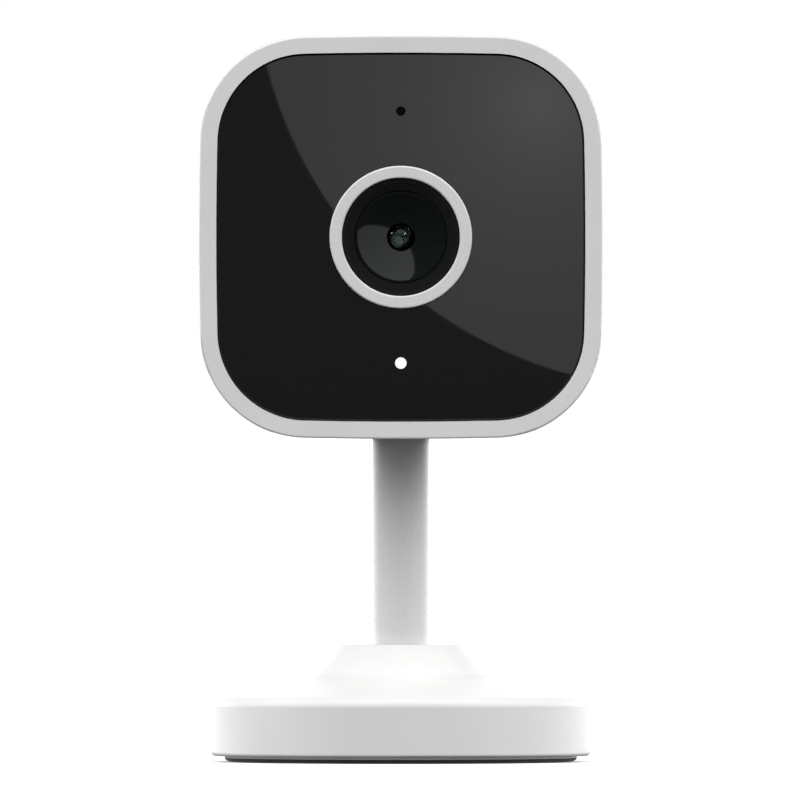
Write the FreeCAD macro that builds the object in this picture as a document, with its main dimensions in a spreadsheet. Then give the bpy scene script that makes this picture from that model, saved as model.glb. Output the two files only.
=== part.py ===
import FreeCAD, Part
import math
import os
import re
import Sketcher

# A small indoor security camera: a rounded square head on a round post and a weighted round base.
# The origin is the centre of the foot's underside, +Z is up and the lens looks along -Y.
# Pieces of the head are laid out in the head's own frame: its origin is the centre of the front
# face, X runs across, Y is the depth behind that face and Z is up from the lens axis.

doc = FreeCAD.newDocument("SecurityCamera")
sheet = doc.addObject("Spreadsheet::Sheet", "Sizes")

sizes = {
    # head, outside
    "headSize": (58.55, "width and height of the head"),
    "headDepth": (34, "front rim to back"),
    "headCorner": (15.4, "radius of the head's corners"),
    "headBow": (600, "radius of the slightly bowed sides"),
    "headRise": (47.05, "ground to the head's lowest edge"),
    "backRound": (9, "rounding of the back edge"),
    "rimRound": (0.3, "rounding of the front edge"),
    "seamRound": (0.2, "rounding of the edges at the seam"),
    "rimWidth": (2.5, "white rim beside the window"),
    "frameDepth": (6, "depth of the front frame"),
    "shellWall": (2, "wall of both shells"),
    "fitGap": (0.1, "gap between pieces that are fitted together"),
    "tongue": (1.5, "length of the frame's tongue in the rear shell"),
    # window and what shows through it
    "windowThick": (1.6, "black acrylic window"),
    "windowSet": (0.15, "window behind the rim's face"),
    "windowGap": (0.06, "gap round the window"),
    "windowBevel": (0.25, "bevel of the window's edge"),
    "gasketThick": (0.4, "adhesive foam behind the window"),
    "ledge": (1.8, "width of the ledge that carries the window"),
    "microphoneHole": (0.7, "radius of the hole above the lens"),
    "lampHole": (0.85, "radius of the hole below the lens"),
    "holeOffset": (18.27, "both small holes, from the lens axis"),
    "microphoneWidth": (3.5, "width of the microphone's can"),
    "microphoneHeight": (2.65, "height of the microphone's can"),
    "microphoneThick": (1, "thickness of the microphone's can"),
    "bootRadius": (2, "outer radius of the rubber boot round the microphone's sound path"),
    "sensorChip": (2, "side of the light sensor"),
    "sensorChipThick": (0.8, "thickness of the light sensor"),
    "statusWidth": (1.6, "side of the status lamp"),
    "statusThick": (0.7, "thickness of the status lamp"),
    "pipeAbove": (1, "back of the light pipe above the board"),
    # lens
    "ringOuter": (10.35, "outer radius of the white ring"),
    "ringInner": (8.55, "inner radius of the white ring"),
    "ringProud": (0.3, "ring in front of the rim's face"),
    "ringFlange": (1.65, "width of the ring's hidden flange"),
    "ringFlangeDepth": (2.3, "front of that flange"),
    "ringRound": (0.25, "rounding of the ring's edges"),
    "flangeThick": (1.1, "flanges of ring and hood"),
    "hoodSlope": (0.6, "depth of the hood's shallow cone"),
    "hoodLip": (0.3, "edge of the hood at its front"),
    "dishRim": (6.3, "radius of the dish in the barrel's front"),
    "dishCurve": (15, "radius of the dish's surface"),
    "barrelWall": (0.3, "edge of the barrel round the dish"),
    "barrelFront": (0.6, "front of the barrel"),
    "barrelStep": (12, "depth where the barrel narrows"),
    "barrelBack": (15, "back of the barrel"),
    "barrelTail": (5.6, "radius of the narrow end"),
    "glassOpening": (2.05, "opening in the dish, round the front element"),
    "frontGlass": (2.5, "radius of the front element"),
    "frontGlassEdge": (2.6, "depth of the front element's edge"),
    "frontGlassCurve": (4, "front surface of the front element"),
    "frontGlassHollow": (2.6, "hollow back surface of the front element"),
    "frontGlassSeat": (4.4, "depth of the front element's back"),
    "glassStep": (0.4, "each later bore of the barrel is this much wider"),
    "middleGlassEdge": (5.3, "depth of the middle element's edge"),
    "middleGlassCurve": (6, "front surface of the middle element"),
    "middleGlassSeat": (6.7, "depth of the middle element's back"),
    "stopRadius": (1.6, "radius of the aperture stop"),
    "stopThick": (0.6, "thickness of the aperture stop"),
    "spacerWall": (0.4, "wall of the spacer rings"),
    "rearGlass": (4.3, "radius of the rear element"),
    "rearGlassEdge": (12.9, "depth of the rear element's edge"),
    "rearGlassCurve": (9, "front surface of the rear element"),
    "rearGlassSeat": (14.3, "depth of the rear element's back"),
    "holderSize": (15, "square lens holder"),
    "holderFront": (12.2, "front of the lens holder"),
    "chamberSize": (10, "hollow over the image sensor"),
    "chamberDepth": (1.6, "depth of that hollow"),
    "filterSize": (8, "infrared filter"),
    "filterThick": (0.3, "thickness of the infrared filter"),
    "filterWindow": (6.5, "opening in front of the filter"),
    "septum": (0.5, "wall that the filter is glued to"),
    # boards and what is on them
    "boardThick": (1, "circuit boards"),
    "lampBoardFront": (4.8, "front face of the front board"),
    "lampBoardRadius": (20.8, "radius of the front board"),
    "chassisFront": (6.2, "front face of the chassis"),
    "chassisThick": (1.6, "thickness of the chassis"),
    "chassisInset": (5, "chassis inside the head's outline"),
    "barrelClear": (0.8, "room round the lens barrel"),
    "postOffset": (19, "screw posts, across and up from the lens axis"),
    "postRadius": (2.8, "radius of the screw posts"),
    "screwRadius": (0.95, "radius of the chassis screws"),
    "screwHead": (1.9, "head radius of the chassis screws"),
    "screwHeadThick": (1, "head thickness of the chassis screws"),
    "screwLength": (7, "length of the chassis screws"),
    "boardWidth": (40, "width of sensor board and main board"),
    "boardLow": (-13.5, "lower edge of both boards"),
    "boardHigh": (15.8, "upper edge of both boards"),
    "stackGap": (0.7, "air between the sensor board and the heat spreader"),
    "shieldWidth": (22, "shield over the processor"),
    "shieldThick": (2.2, "height of the shield"),
    "shieldWall": (0.2, "sheet of the shield"),
    "chipSize": (12, "processor"),
    "chipThick": (1.2, "thickness of the processor"),
    "padSize": (14, "thermal pad"),
    "padThick": (0.9, "thickness of the thermal pad"),
    "spreaderWidth": (36, "aluminium heat spreader"),
    "spreaderHeight": (24, "height of the heat spreader"),
    "ribbonWidth": (10, "ribbon cables"),
    "ribbonThick": (0.3, "thickness of the ribbon cables"),
    "ribbonAcross": (16, "front ribbon, from the lens axis"),
    "ribbonRise": (14.3, "rear ribbon, above the lens axis"),
    "lampSize": (2.8, "infrared lamps"),
    "lampThick": (1.9, "height of the infrared lamps"),
    "lampAcross": (15, "infrared lamps, from the lens axis"),
    "lampRise": (8, "infrared lamps, above and below the lens axis"),
    "antennaWidth": (28, "length of the antenna strip"),
    "antennaGap": (0.8, "antenna below the shell's inner wall"),
    # speaker, socket and button at the back
    "speakerRadius": (10, "radius of the speaker"),
    "speakerRise": (7, "speaker above the lens axis"),
    "speakerThick": (4.4, "depth of the speaker"),
    "speakerGasket": (2, "foam ring behind the speaker"),
    "grilleRadius": (9, "visible radius of the grille"),
    "grilleFlange": (1.2, "hidden edge of the grille"),
    "grilleThick": (0.8, "visible part of the grille, in the wall"),
    "grilleHole": (0.55, "radius of a grille hole"),
    "grillePitch": (2.1, "distance between rings of grille holes"),
    "socketWidth": (8.94, "power socket"),
    "socketHeight": (3.26, "height of the power socket"),
    "socketWall": (0.3, "sheet of the power socket"),
    "bladeWidth": (6.7, "contact blade inside the socket"),
    "bladeThick": (0.7, "thickness of the contact blade"),
    "bladeLength": (5.3, "length of the contact blade"),
    "bladeSet": (0.9, "blade behind the socket's mouth"),
    "socketDrop": (9.5, "socket and button below the lens axis"),
    "socketSet": (0.5, "socket behind the back face"),
    "socketGap": (0.3, "room round the socket in the shell"),
    "buttonRadius": (2.4, "setup button"),
    "buttonAcross": (13.5, "button, from the lens axis"),
    "buttonTravel": (0.5, "how far the button is pressed"),
    "buttonProud": (0.25, "button proud of the back face"),
    "buttonGap": (0.15, "room round the button"),
    "buttonFlange": (0.9, "width of the button's hidden flange"),
    "buttonFlangeThick": (1.6, "thickness of that flange"),
    "switchSize": (6, "switch under the button"),
    "actuatorRadius": (1.7, "plunger of the switch"),
    "switchThick": (3.5, "height of the switch"),
    # tilt hinge
    "pivotDepth": (17.6, "hinge axis behind the front face"),
    "pivotRise": (8.1, "hinge axis above the head's lowest edge"),
    "tiltDown": (25, "how far the lens can look down, in degrees"),
    "slotGap": (0.45, "room beside the post in its slot"),
    "slotWall": (1.3, "walls of the slot inside the shell"),
    "hingePin": (1.5, "radius of the hinge screw"),
    "pinPlay": (0.05, "running play on the hinge screw"),
    "washerThick": (0.9, "friction washers"),
    "washerRadius": (3.6, "radius of the friction washers"),
    "hingeHead": (2.75, "head radius of the hinge screw"),
    "hingeHeadThick": (1.6, "head thickness of the hinge screw"),
    "nutRadius": (3.2, "corner radius of the hinge nut"),
    "nutThick": (2.4, "thickness of the hinge nut"),
    # post
    "postOuter": (4.17, "radius of the post"),
    "postInner": (3.2, "bore of the post"),
    "postFoot": (8, "height of the post's lower end"),
    "postTop": (0.23, "post's upper end below the knuckle's eye"),
    "spigot": (8, "length of the plugs inside the post"),
    "plugFlange": (7, "radius of the lower plug's flange"),
    "plugThick": (1.4, "thickness of that flange"),
    "springThick": (1.4, "spring washer of the swivel"),
    "bushWall": (1.4, "wall of the swivel bush"),
    "swivelPlay": (0.05, "running play of the swivel"),
    # base
    "footInset": (1.95, "rubber foot inside the base's edge"),
    "footThick": (0.9, "thickness of the rubber foot"),
    "baseRadius": (27.6, "radius of the base"),
    "wallTop": (9.3, "height of the base's upright wall"),
    "bossFoot": (13.1, "radius where the boss meets the slope"),
    "bossFootRise": (12.35, "height where the boss meets the slope"),
    "bossTop": (9, "radius of the boss's top"),
    "bossRise": (17.1, "height of the boss's top"),
    "edgeRound": (1.4, "rounding of the base's upper edge"),
    "bossBlend": (3, "hollow rounding at the boss's foot"),
    "bossRound": (0.5, "rounding of the boss's top edge"),
    "lowRound": (0.5, "rounding of the base's lower edge"),
    "baseWall": (2.2, "wall of the base cover"),
    "boreGap": (0.15, "visible gap round the post"),
    "boreLip": (0.8, "length of that gap, above the bush"),
    "tubeWall": (1.8, "wall of the cover's central tube"),
    "plateThick": (1.6, "base plate"),
    "weightThick": (3.6, "steel weight"),
    "weightGap": (0.5, "room round the weight"),
    "bossPitch": (17.5, "cover's screw bosses, from the centre"),
    "bossRadius": (2.6, "radius of those bosses"),
    "bossCount": (3, "number of base screws"),
    "baseScrew": (1.2, "radius of the base screws"),
    "baseScrewHead": (2.1, "head radius of the base screws"),
    "baseScrewLength": (5, "length of the base screws"),
}

for number, (alias, (size, note)) in enumerate(sizes.items(), start=1):
    sheet.set("A%d" % number, alias)
    sheet.set("B%d" % number, str(size))
    sheet.set("C%d" % number, note)
    sheet.setAlias("B%d" % number, alias)
doc.recompute()

# sizes that follow from the ones above
slotHalfWidth = "(postOuter + slotGap)"
knuckleHalf = "(%s - washerThick - 2 * pinPlay)" % slotHalfWidth
cheek = "(%s + slotWall)" % slotHalfWidth
pivotUp = "(pivotRise - headSize / 2)"
pivotHeight = "(headRise + pivotRise)"
gasketFront = "(windowSet + windowThick)"
flangeRadius = "(ringOuter + ringFlange)"
barrelRadius = "(dishRim + barrelWall)"
middleGlass = "(frontGlass + glassStep)"
barrelHole = "(%s + barrelClear)" % barrelRadius
chamberFront = "(barrelBack + fitGap + septum)"
sensorBoardFront = "(%s + chamberDepth)" % chamberFront
spreaderFront = "(%s + boardThick + stackGap)" % sensorBoardFront
shieldFront = "(%s + boardThick + padThick)" % spreaderFront
mainBoardFront = "(%s + shieldThick)" % shieldFront
mainBoardBack = "(%s + boardThick)" % mainBoardFront
bushOuter = "(postOuter + swivelPlay + bushWall)"
tubeOuter = "(%s + tubeWall)" % bushOuter
plateTop = "(footThick + plateThick)"

headFrame = ("0", "-pivotDepth", "headRise + headSize / 2")
baseFrame = ("0", "0", "0")
origin = FreeCAD.Vector(0, 0, 0)
acrossAxis = FreeCAD.Vector(1, 0, 0)
upAxis = FreeCAD.Vector(0, 0, 1)
pointing = {
    "up": FreeCAD.Rotation(),
    "back": FreeCAD.Rotation(acrossAxis, -90),
    "right": FreeCAD.Rotation(FreeCAD.Vector(0, 1, 0), 90),
}
pieces = []


def formula(text):
    # names of sizes are written bare, and get the sheet's name here
    return re.sub(r"[A-Za-z]\w*", lambda word: "Sizes." * (word[0] in sizes) + word[0], str(text))


def bind(item, prop, text):
    item.setExpression(prop, formula(text))


def value(text):
    return float(sheet.evalExpression(str(text)))


def finished(item, label):
    item.Label = label
    pieces.append(item)
    return item


# ---- bodies with sketches and features ----

def newBody(label, frame):
    body = doc.addObject("PartDesign::Body", label)
    for axis, text in zip("xyz", frame):
        bind(body, ".Placement.Base." + axis, text)
    return finished(body, label)


def newSketch(body, name, role, shift="0"):
    # on XZ_Plane the sketch looks at the front, and a positive shift moves it forwards
    sketch = body.newObject("Sketcher::SketchObject", name)
    plane = next(item for item in body.Origin.OriginFeatures if item.Role == role)
    sketch.AttachmentSupport = [(plane, "")]
    sketch.MapMode = "FlatFace"
    bind(sketch, ".AttachmentOffset.Base.z", shift)
    return sketch


def constrain(sketch, kind, *parts):
    return sketch.addConstraint(Sketcher.Constraint(kind, *parts))


def drive(sketch, text, kind, *parts):
    index = constrain(sketch, kind, *parts, value(text))
    bind(sketch, "Constraints[%d]" % index, text)


def locate(sketch, geometry, point, across, up):
    # each coordinate is its own size, and a zero one lies on the sketch's axis
    for kind, text, axis in (("DistanceX", across, -2), ("DistanceY", up, -1)):
        if text == "0":
            constrain(sketch, "PointOnObject", geometry, point, axis)
        else:
            drive(sketch, text, kind, -1, 1, geometry, point)


def circle(sketch, radius, across="0", up="0"):
    centre = FreeCAD.Vector(value(across), value(up), 0)
    index = sketch.addGeometry(Part.Circle(centre, upAxis, value(radius)), False)
    drive(sketch, radius, "Radius", index)
    locate(sketch, index, 3, across, up)


def outline(sketch, corners, hollow=None):
    # a closed outline of straight lines through corners given as (across, up); the last one is
    # an arc when hollow gives its radius, and it turns left on its way back to the first corner
    points = [FreeCAD.Vector(value(across), value(up), 0) for across, up in corners]
    edges = [Part.LineSegment(start, end) for start, end in zip(points, points[1:] + points[:1])]
    if hollow:
        start, end = points[-1], points[0]
        half = (end - start) / 2
        aside = FreeCAD.Vector(-half.y, half.x, 0).normalize()
        centre = start + half + aside * math.sqrt(value(hollow) ** 2 - half.Length ** 2)
        angles = [math.atan2(point.y - centre.y, point.x - centre.x) for point in (start, end)]
        edges[-1] = Part.ArcOfCircle(Part.Circle(centre, upAxis, value(hollow)), *angles)
    first = sketch.addGeometry(edges, False)[0]
    for index, (across, up) in enumerate(corners):
        constrain(sketch, "Coincident", first + (index - 1) % len(corners), 2, first + index, 1)
        locate(sketch, first + index, 1, across, up)
    if hollow:
        drive(sketch, hollow, "Radius", first + len(corners) - 1)


def roundedSquare(sketch, inset="0"):
    # four slightly bowed sides and four corner arcs, all tangent, set in from the head's outline
    half = value("headSize / 2 - (%s)" % inset)
    bow = value("headBow - (%s)" % inset)
    corner = value("headCorner - (%s)" % inset)
    swing = math.pi / 4 - math.asin((bow - half) / (bow - corner) / math.sqrt(2))
    reach = math.sqrt(2) * (bow - corner) * math.sin(swing)
    arcs = []
    for quarter in range(4):
        side = quarter * math.pi / 2
        diagonal = side + math.pi / 4
        bowCentre = FreeCAD.Vector((half - bow) * math.cos(side), (half - bow) * math.sin(side), 0)
        cornerCentre = FreeCAD.Vector(reach * math.cos(diagonal), reach * math.sin(diagonal), 0)
        arcs.append(Part.ArcOfCircle(Part.Circle(bowCentre, upAxis, bow), side - swing, side + swing))
        arcs.append(Part.ArcOfCircle(Part.Circle(cornerCentre, upAxis, corner),
                                     side + swing, side + math.pi / 2 - swing))
    first = sketch.addGeometry(arcs, False)[0]
    for index in range(8):
        constrain(sketch, "Tangent", first + index, 2, first + (index + 1) % 8, 1)
    for index in range(2, 8):
        constrain(sketch, "Equal", first + index % 2, first + index)
    for index, axis in ((0, -1), (2, -2)):
        constrain(sketch, "PointOnObject", first + index, 3, axis)
    for index in (0, 2):
        constrain(sketch, "Symmetric", first + index, 3, first + index + 4, 3, -1, 1)
    drive(sketch, "headBow - (%s)" % inset, "Radius", first)
    drive(sketch, "headCorner - (%s)" % inset, "Radius", first + 1)
    drive(sketch, "headSize / 2 - headBow", "DistanceX", -1, 1, first, 3)
    drive(sketch, "headSize / 2 - headBow", "DistanceY", -1, 1, first + 2, 3)


def feature(body, kind, name, sketch, length=None, back=False, both=False, through=False):
    item = body.newObject("PartDesign::" + kind, name)
    item.Profile = sketch
    item.Reversed = back
    item.Midplane = both
    if through:
        item.Type = "ThroughAll"
    elif length:
        bind(item, "Length", length)
    doc.recompute()
    return item


def revolve(body, name, sketch, axis):
    item = body.newObject("PartDesign::Revolution", name)
    item.Profile = sketch
    item.ReferenceAxis = (sketch, [axis])
    item.Angle = 360
    doc.recompute()
    return item


def edgesWhere(shape, test):
    return ["Edge%d" % number for number, edge in enumerate(shape.Edges, start=1) if test(edge)]


def dress(body, kind, name, base, edges, size):
    # rounds or bevels edges of the feature that stands last in the body
    item = body.newObject("PartDesign::" + kind, name)
    item.Base = (base, edges)
    bind(item, "Radius" if kind == "Fillet" else "Size", size)
    doc.recompute()
    return item


def outerEdges(shape, depth):
    # edges of the outermost loop that lie all in the plane at one depth
    inPlane = [edge for edge in shape.Edges
               if abs(edge.BoundBox.YMin - depth) < 1e-4 and abs(edge.BoundBox.YMax - depth) < 1e-4]
    loops = [Part.Wire(group) for group in Part.sortEdges(inPlane)]
    widest = max(loops, key=lambda loop: loop.BoundBox.XLength)
    return edgesWhere(shape, lambda edge: any(edge.isSame(other) for other in widest.Edges))


def ringEdges(shape, radius, rise):
    def fits(edge):
        level = abs(edge.BoundBox.ZMin - rise) < 1e-4 and abs(edge.BoundBox.ZMax - rise) < 1e-4
        return level and abs(edge.BoundBox.XMax - radius) < 1e-4
    return edgesWhere(shape, fits)


def depthRings(shape, radius, depth):
    def fits(edge):
        level = abs(edge.BoundBox.YMin - depth) < 1e-4 and abs(edge.BoundBox.YMax - depth) < 1e-4
        return level and abs(edge.BoundBox.XMax - radius) < 1e-4
    return edgesWhere(shape, fits)


# ---- pieces from primitives ----

def place(item, frame, spot, towards="up"):
    item.Placement = FreeCAD.Placement(origin, pointing[towards])
    for axis, start, text in zip("xyz", frame, spot):
        bind(item, ".Placement.Base." + axis, "%s + %s" % (start, text))
    return item


def block(name, frame, width, depth, height, centre):
    # centre gives the middle of the width, the front of the depth and the middle of the height
    item = doc.addObject("Part::Box", name)
    bind(item, "Length", width)
    bind(item, "Width", depth)
    bind(item, "Height", height)
    across, front, up = centre
    return place(item, frame, ("%s - (%s) / 2" % (across, width), front, "%s - (%s) / 2" % (up, height)))


def rod(name, frame, radius, length, start, towards):
    item = doc.addObject("Part::Cylinder", name)
    bind(item, "Radius", radius)
    bind(item, "Height", length)
    return place(item, frame, start, towards)


def ball(name, frame, radius, centre):
    item = doc.addObject("Part::Sphere", name)
    bind(item, "Radius", radius)
    return place(item, frame, centre)


def joined(name, parts):
    item = doc.addObject("Part::MultiFuse", name)
    item.Shapes = parts
    return item


def cut(name, base, tool):
    item = doc.addObject("Part::Cut", name)
    item.Base = base
    item.Tool = tool
    return item


def common(name, base, tool):
    item = doc.addObject("Part::Common", name)
    item.Base = base
    item.Tool = tool
    return item


def group(name, parts):
    item = doc.addObject("Part::Compound", name)
    item.Links = parts
    return item


def ring(name, frame, outer, inner, length, start, towards):
    return cut(name, rod(name + "Disc", frame, outer, length, start, towards),
               rod(name + "Bore", frame, inner, length, start, towards))


# ---- front of the head ----

openingInset = "rimWidth + ledge"


def frontFrame():
    body = newBody("front_frame", headFrame)
    blank = newSketch(body, "frameOutline", "XZ_Plane")
    roundedSquare(blank)
    feature(body, "Pad", "frameBlank", blank, "frameDepth", back=True)
    lip = newSketch(body, "tongueOutline", "XZ_Plane", "-frameDepth")
    roundedSquare(lip, "shellWall + fitGap")
    feature(body, "Pad", "frameTongue", lip, "tongue", back=True)
    gap = newSketch(body, "tongueGap", "XZ_Plane", "-frameDepth")
    gapHalf = "(%s + 5 * fitGap)" % cheek
    low, high = "-headSize / 2", "-headSize / 2 + rimWidth + 2 * ledge"
    outline(gap, [("-" + gapHalf, low), (gapHalf, low), (gapHalf, high), ("-" + gapHalf, high)])
    feature(body, "Pocket", "slotNotch", gap, "tongue")
    seat = newSketch(body, "windowSeat", "XZ_Plane")
    roundedSquare(seat, "rimWidth")
    feature(body, "Pocket", "windowPocket", seat, gasketFront + " + gasketThick")
    opening = newSketch(body, "openingOutline", "XZ_Plane")
    roundedSquare(opening, openingInset)
    base = feature(body, "Pocket", "opening", opening, through=True)
    base = dress(body, "Fillet", "rimEdge", base, outerEdges(base.Shape, 0), "rimRound")
    dress(body, "Fillet", "seamEdge", base, outerEdges(base.Shape, value("frameDepth")), "seamRound")


def frontWindow():
    body = newBody("front_window", headFrame)
    sheetOutline = newSketch(body, "windowOutline", "XZ_Plane", "-windowSet")
    roundedSquare(sheetOutline, "rimWidth + windowGap")
    base = feature(body, "Pad", "windowSheet", sheetOutline, "windowThick", back=True)
    edges = outerEdges(base.Shape, value("windowSet"))
    dress(body, "Chamfer", "windowEdge", base, edges, "windowBevel")
    holes = newSketch(body, "windowHoles", "XZ_Plane")
    circle(holes, "ringOuter + fitGap")
    circle(holes, "microphoneHole", "0", "holeOffset")
    circle(holes, "lampHole", "0", "-holeOffset")
    feature(body, "Pocket", "windowDrilling", holes, through=True)


def windowGasket():
    body = newBody("window_gasket", headFrame)
    loop = newSketch(body, "gasketOutline", "XZ_Plane", "-" + gasketFront)
    roundedSquare(loop, "rimWidth + 2 * fitGap")
    roundedSquare(loop, openingInset)
    feature(body, "Pad", "gasketSheet", loop, "gasketThick", back=True)


# ---- lens: turned pieces, their outlines given as (depth, radius) ----

def turned(label, corners, hollow=None):
    body = newBody(label, headFrame)
    profile = newSketch(body, label + "Profile", "YZ_Plane")
    outline(profile, corners, hollow)
    return body, revolve(body, label + "Turned", profile, "H_Axis")


def lensRing():
    flangeBack = "ringFlangeDepth + flangeThick"
    body, turn = turned("lens_ring", [("-ringProud", "ringInner"), ("-ringProud", "ringOuter"),
                                      ("ringFlangeDepth", "ringOuter"), ("ringFlangeDepth", flangeRadius),
                                      (flangeBack, flangeRadius), (flangeBack, "ringInner")])
    edges = [name for radius in ("ringInner", "ringOuter")
             for name in depthRings(turn.Shape, value(radius), value("-ringProud"))]
    dress(body, "Fillet", "ringEdges", turn, edges, "ringRound")


def lensHood():
    flange = "ringFlangeDepth + flangeThick + fitGap"
    bore = barrelRadius + " + fitGap"
    outer = "ringInner - fitGap"
    turned("lens_hood", [("windowSet", outer), (flange, outer), (flange, flangeRadius),
                         (flange + " + flangeThick", flangeRadius), (flange + " + flangeThick", bore),
                         ("windowSet + hoodSlope", bore), ("windowSet", outer + " - hoodLip")])


def lensBarrel():
    # the front is a shallow dish round the opening; the bores widen towards the back, from
    # where the elements and their spacers go in
    seat = "frontGlass + fitGap / 2"
    middle = middleGlass + " + fitGap / 2"
    rear = "rearGlass + fitGap / 2"
    floor = "barrelFront - sqrt(dishCurve ^ 2 - dishRim ^ 2) + sqrt(dishCurve ^ 2 - glassOpening ^ 2)"
    lipBack = ("frontGlassEdge + sqrt(frontGlassCurve ^ 2 - frontGlass ^ 2)"
               " - sqrt(frontGlassCurve ^ 2 - glassOpening ^ 2) - fitGap / 2")
    turned("lens_barrel", [("barrelFront", "dishRim"), ("barrelFront", barrelRadius),
                           ("barrelStep", barrelRadius), ("barrelStep", "barrelTail"),
                           ("barrelBack", "barrelTail"), ("barrelBack", rear),
                           ("middleGlassSeat", rear), ("middleGlassSeat", middle),
                           ("frontGlassSeat", middle), ("frontGlassSeat", seat),
                           (lipBack, seat), (lipBack, "glassOpening"),
                           (floor, "glassOpening")], "dishCurve")


def lensSpacers():
    # between the elements: a thin ring, the aperture stop, a long tube and the retaining ring
    narrow = "%s - spacerWall" % middleGlass
    wide = "rearGlass - spacerWall"
    dome = "middleGlassCurve - sqrt(middleGlassCurve ^ 2 - (%s) ^ 2)" % narrow
    edge = "middleGlassCurve - sqrt(middleGlassCurve ^ 2 - %s ^ 2)" % middleGlass
    rearDome = "rearGlassCurve - sqrt(rearGlassCurve ^ 2 - (%s) ^ 2)" % wide
    rearEdge = "rearGlassCurve - sqrt(rearGlassCurve ^ 2 - rearGlass ^ 2)"
    stopBack = "middleGlassSeat + stopThick"
    rings = []
    for name, outer, inner, start, end in (
            ("frontSpacer", middleGlass, narrow, "frontGlassSeat",
             "middleGlassEdge - (%s) + %s - fitGap / 4" % (edge, dome)),
            ("apertureStop", "rearGlass", "stopRadius", "middleGlassSeat", stopBack),
            ("rearSpacer", "rearGlass", wide, stopBack,
             "rearGlassEdge - (%s) + %s - fitGap / 4" % (rearEdge, rearDome)),
            ("retainingRing", "rearGlass", wide, "rearGlassSeat", "barrelBack")):
        length = "%s - (%s)" % (end, start)
        rings.append(ring(name, headFrame, outer, inner, length, ("0", start, "0"), "back"))
    finished(group("lensSpacers", rings), "lens_spacers")


def lensElement(label, radius, edge, curve, seat, hollow=None):
    # a glass disc whose front is part of a ball, and whose back may be hollowed by another
    sag = "(%s - sqrt(%s ^ 2 - %s ^ 2))" % (curve, curve, radius)
    front = "%s - %s" % (edge, sag)
    disc = rod(label + "Disc", headFrame, radius, "%s - (%s)" % (seat, front), ("0", front, "0"), "back")
    dome = ball(label + "Dome", headFrame, curve, ("0", "%s + %s" % (front, curve), "0"))
    lens = common(label + "Blank", disc, dome)
    if hollow:
        opening = hollow + " - 2 * fitGap"
        centre = "%s + sqrt(%s ^ 2 - (%s) ^ 2)" % (seat, hollow, opening)
        lens = cut(label + "Hollowed", lens, ball(label + "Bowl", headFrame, hollow, ("0", centre, "0")))
    finished(lens, label)


def lensElements():
    lensElement("lens_front_element", "frontGlass", "frontGlassEdge", "frontGlassCurve",
                "frontGlassSeat", "frontGlassHollow")
    lensElement("lens_middle_element", middleGlass, "middleGlassEdge", "middleGlassCurve",
                "middleGlassSeat")
    lensElement("lens_rear_element", "rearGlass", "rearGlassEdge", "rearGlassCurve", "rearGlassSeat")


def lensHolder():
    boreDepth = "%s - septum - holderFront" % chamberFront
    holderDepth = sensorBoardFront + " - holderFront"
    solid = block("holderBlock", headFrame, "holderSize", holderDepth, "holderSize",
                  ("0", "holderFront", "0"))
    bore = rod("holderBore", headFrame, "barrelTail + pinPlay", boreDepth, ("0", "holderFront", "0"), "back")
    gate = block("holderGate", headFrame, "filterWindow", "2 * septum", "filterWindow",
                 ("0", chamberFront + " - 1.5 * septum", "0"))
    chamber = block("holderChamber", headFrame, "chamberSize", "chamberDepth", "chamberSize",
                    ("0", chamberFront, "0"))
    finished(cut("holder", solid, joined("holderHollows", [bore, gate, chamber])), "lens_holder")
    finished(block("filterGlass", headFrame, "filterSize", "filterThick", "filterSize",
                   ("0", chamberFront, "0")), "infrared_filter")
    chipDepth = "chamberDepth - filterThick - fitGap"
    finished(block("sensorChip", headFrame, "filterSize", chipDepth, "filterWindow",
                   ("0", "%s - (%s)" % (sensorBoardFront, chipDepth), "0")), "image_sensor")


# ---- boards, lamps and microphone ----

boardMiddle = "(boardLow + boardHigh) / 2"
boardHeight = "boardHigh - boardLow"
lampBoardBack = "lampBoardFront + boardThick"


def frontBoard():
    finished(ring("lampBoard", headFrame, "lampBoardRadius", barrelHole, "boardThick",
                  ("0", "lampBoardFront", "0"), "back"), "front_board")
    lamps = [block("infraredLamp%d%d" % (side, level), headFrame, "lampSize", "lampThick", "lampSize",
                   ("%d * lampAcross" % side, "lampBoardFront - lampThick", "%d * lampRise" % level))
             for side in (-1, 1) for level in (-1, 1)]
    finished(group("infraredLamps", lamps), "infrared_lamps")
    finished(block("lightSensor", headFrame, "sensorChip", "sensorChipThick", "sensorChip",
                   ("lampAcross", "lampBoardFront - sensorChipThick", "0")), "light_sensor")


def microphone():
    bootLength = "lampBoardFront - microphoneThick - %s" % gasketFront
    finished(block("microphoneChip", headFrame, "microphoneWidth", "microphoneThick", "microphoneHeight",
                   ("0", "lampBoardFront - microphoneThick", "holeOffset")), "microphone")
    finished(ring("microphoneTube", headFrame, "bootRadius", "microphoneHole", bootLength,
                  ("0", gasketFront, "holeOffset"), "back"), "microphone_boot")


def statusLamp():
    pipeFront = "windowSet + fitGap / 2"
    pipeBack = "lampBoardFront - pipeAbove"
    flangeFront = gasketFront + " + fitGap"
    pipe = rod("pipeStem", headFrame, "lampHole - fitGap / 2", "%s - (%s)" % (pipeBack, pipeFront),
               ("0", pipeFront, "-holeOffset"), "back")
    flange = rod("pipeFlange", headFrame, "2 * lampHole", "%s - (%s)" % (pipeBack, flangeFront),
                 ("0", flangeFront, "-holeOffset"), "back")
    finished(joined("lightPipe", [pipe, flange]), "status_light_pipe")
    finished(block("statusChip", headFrame, "statusWidth", "statusThick", "statusWidth",
                   ("0", "lampBoardFront - statusThick", "-holeOffset")), "status_lamp")


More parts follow.
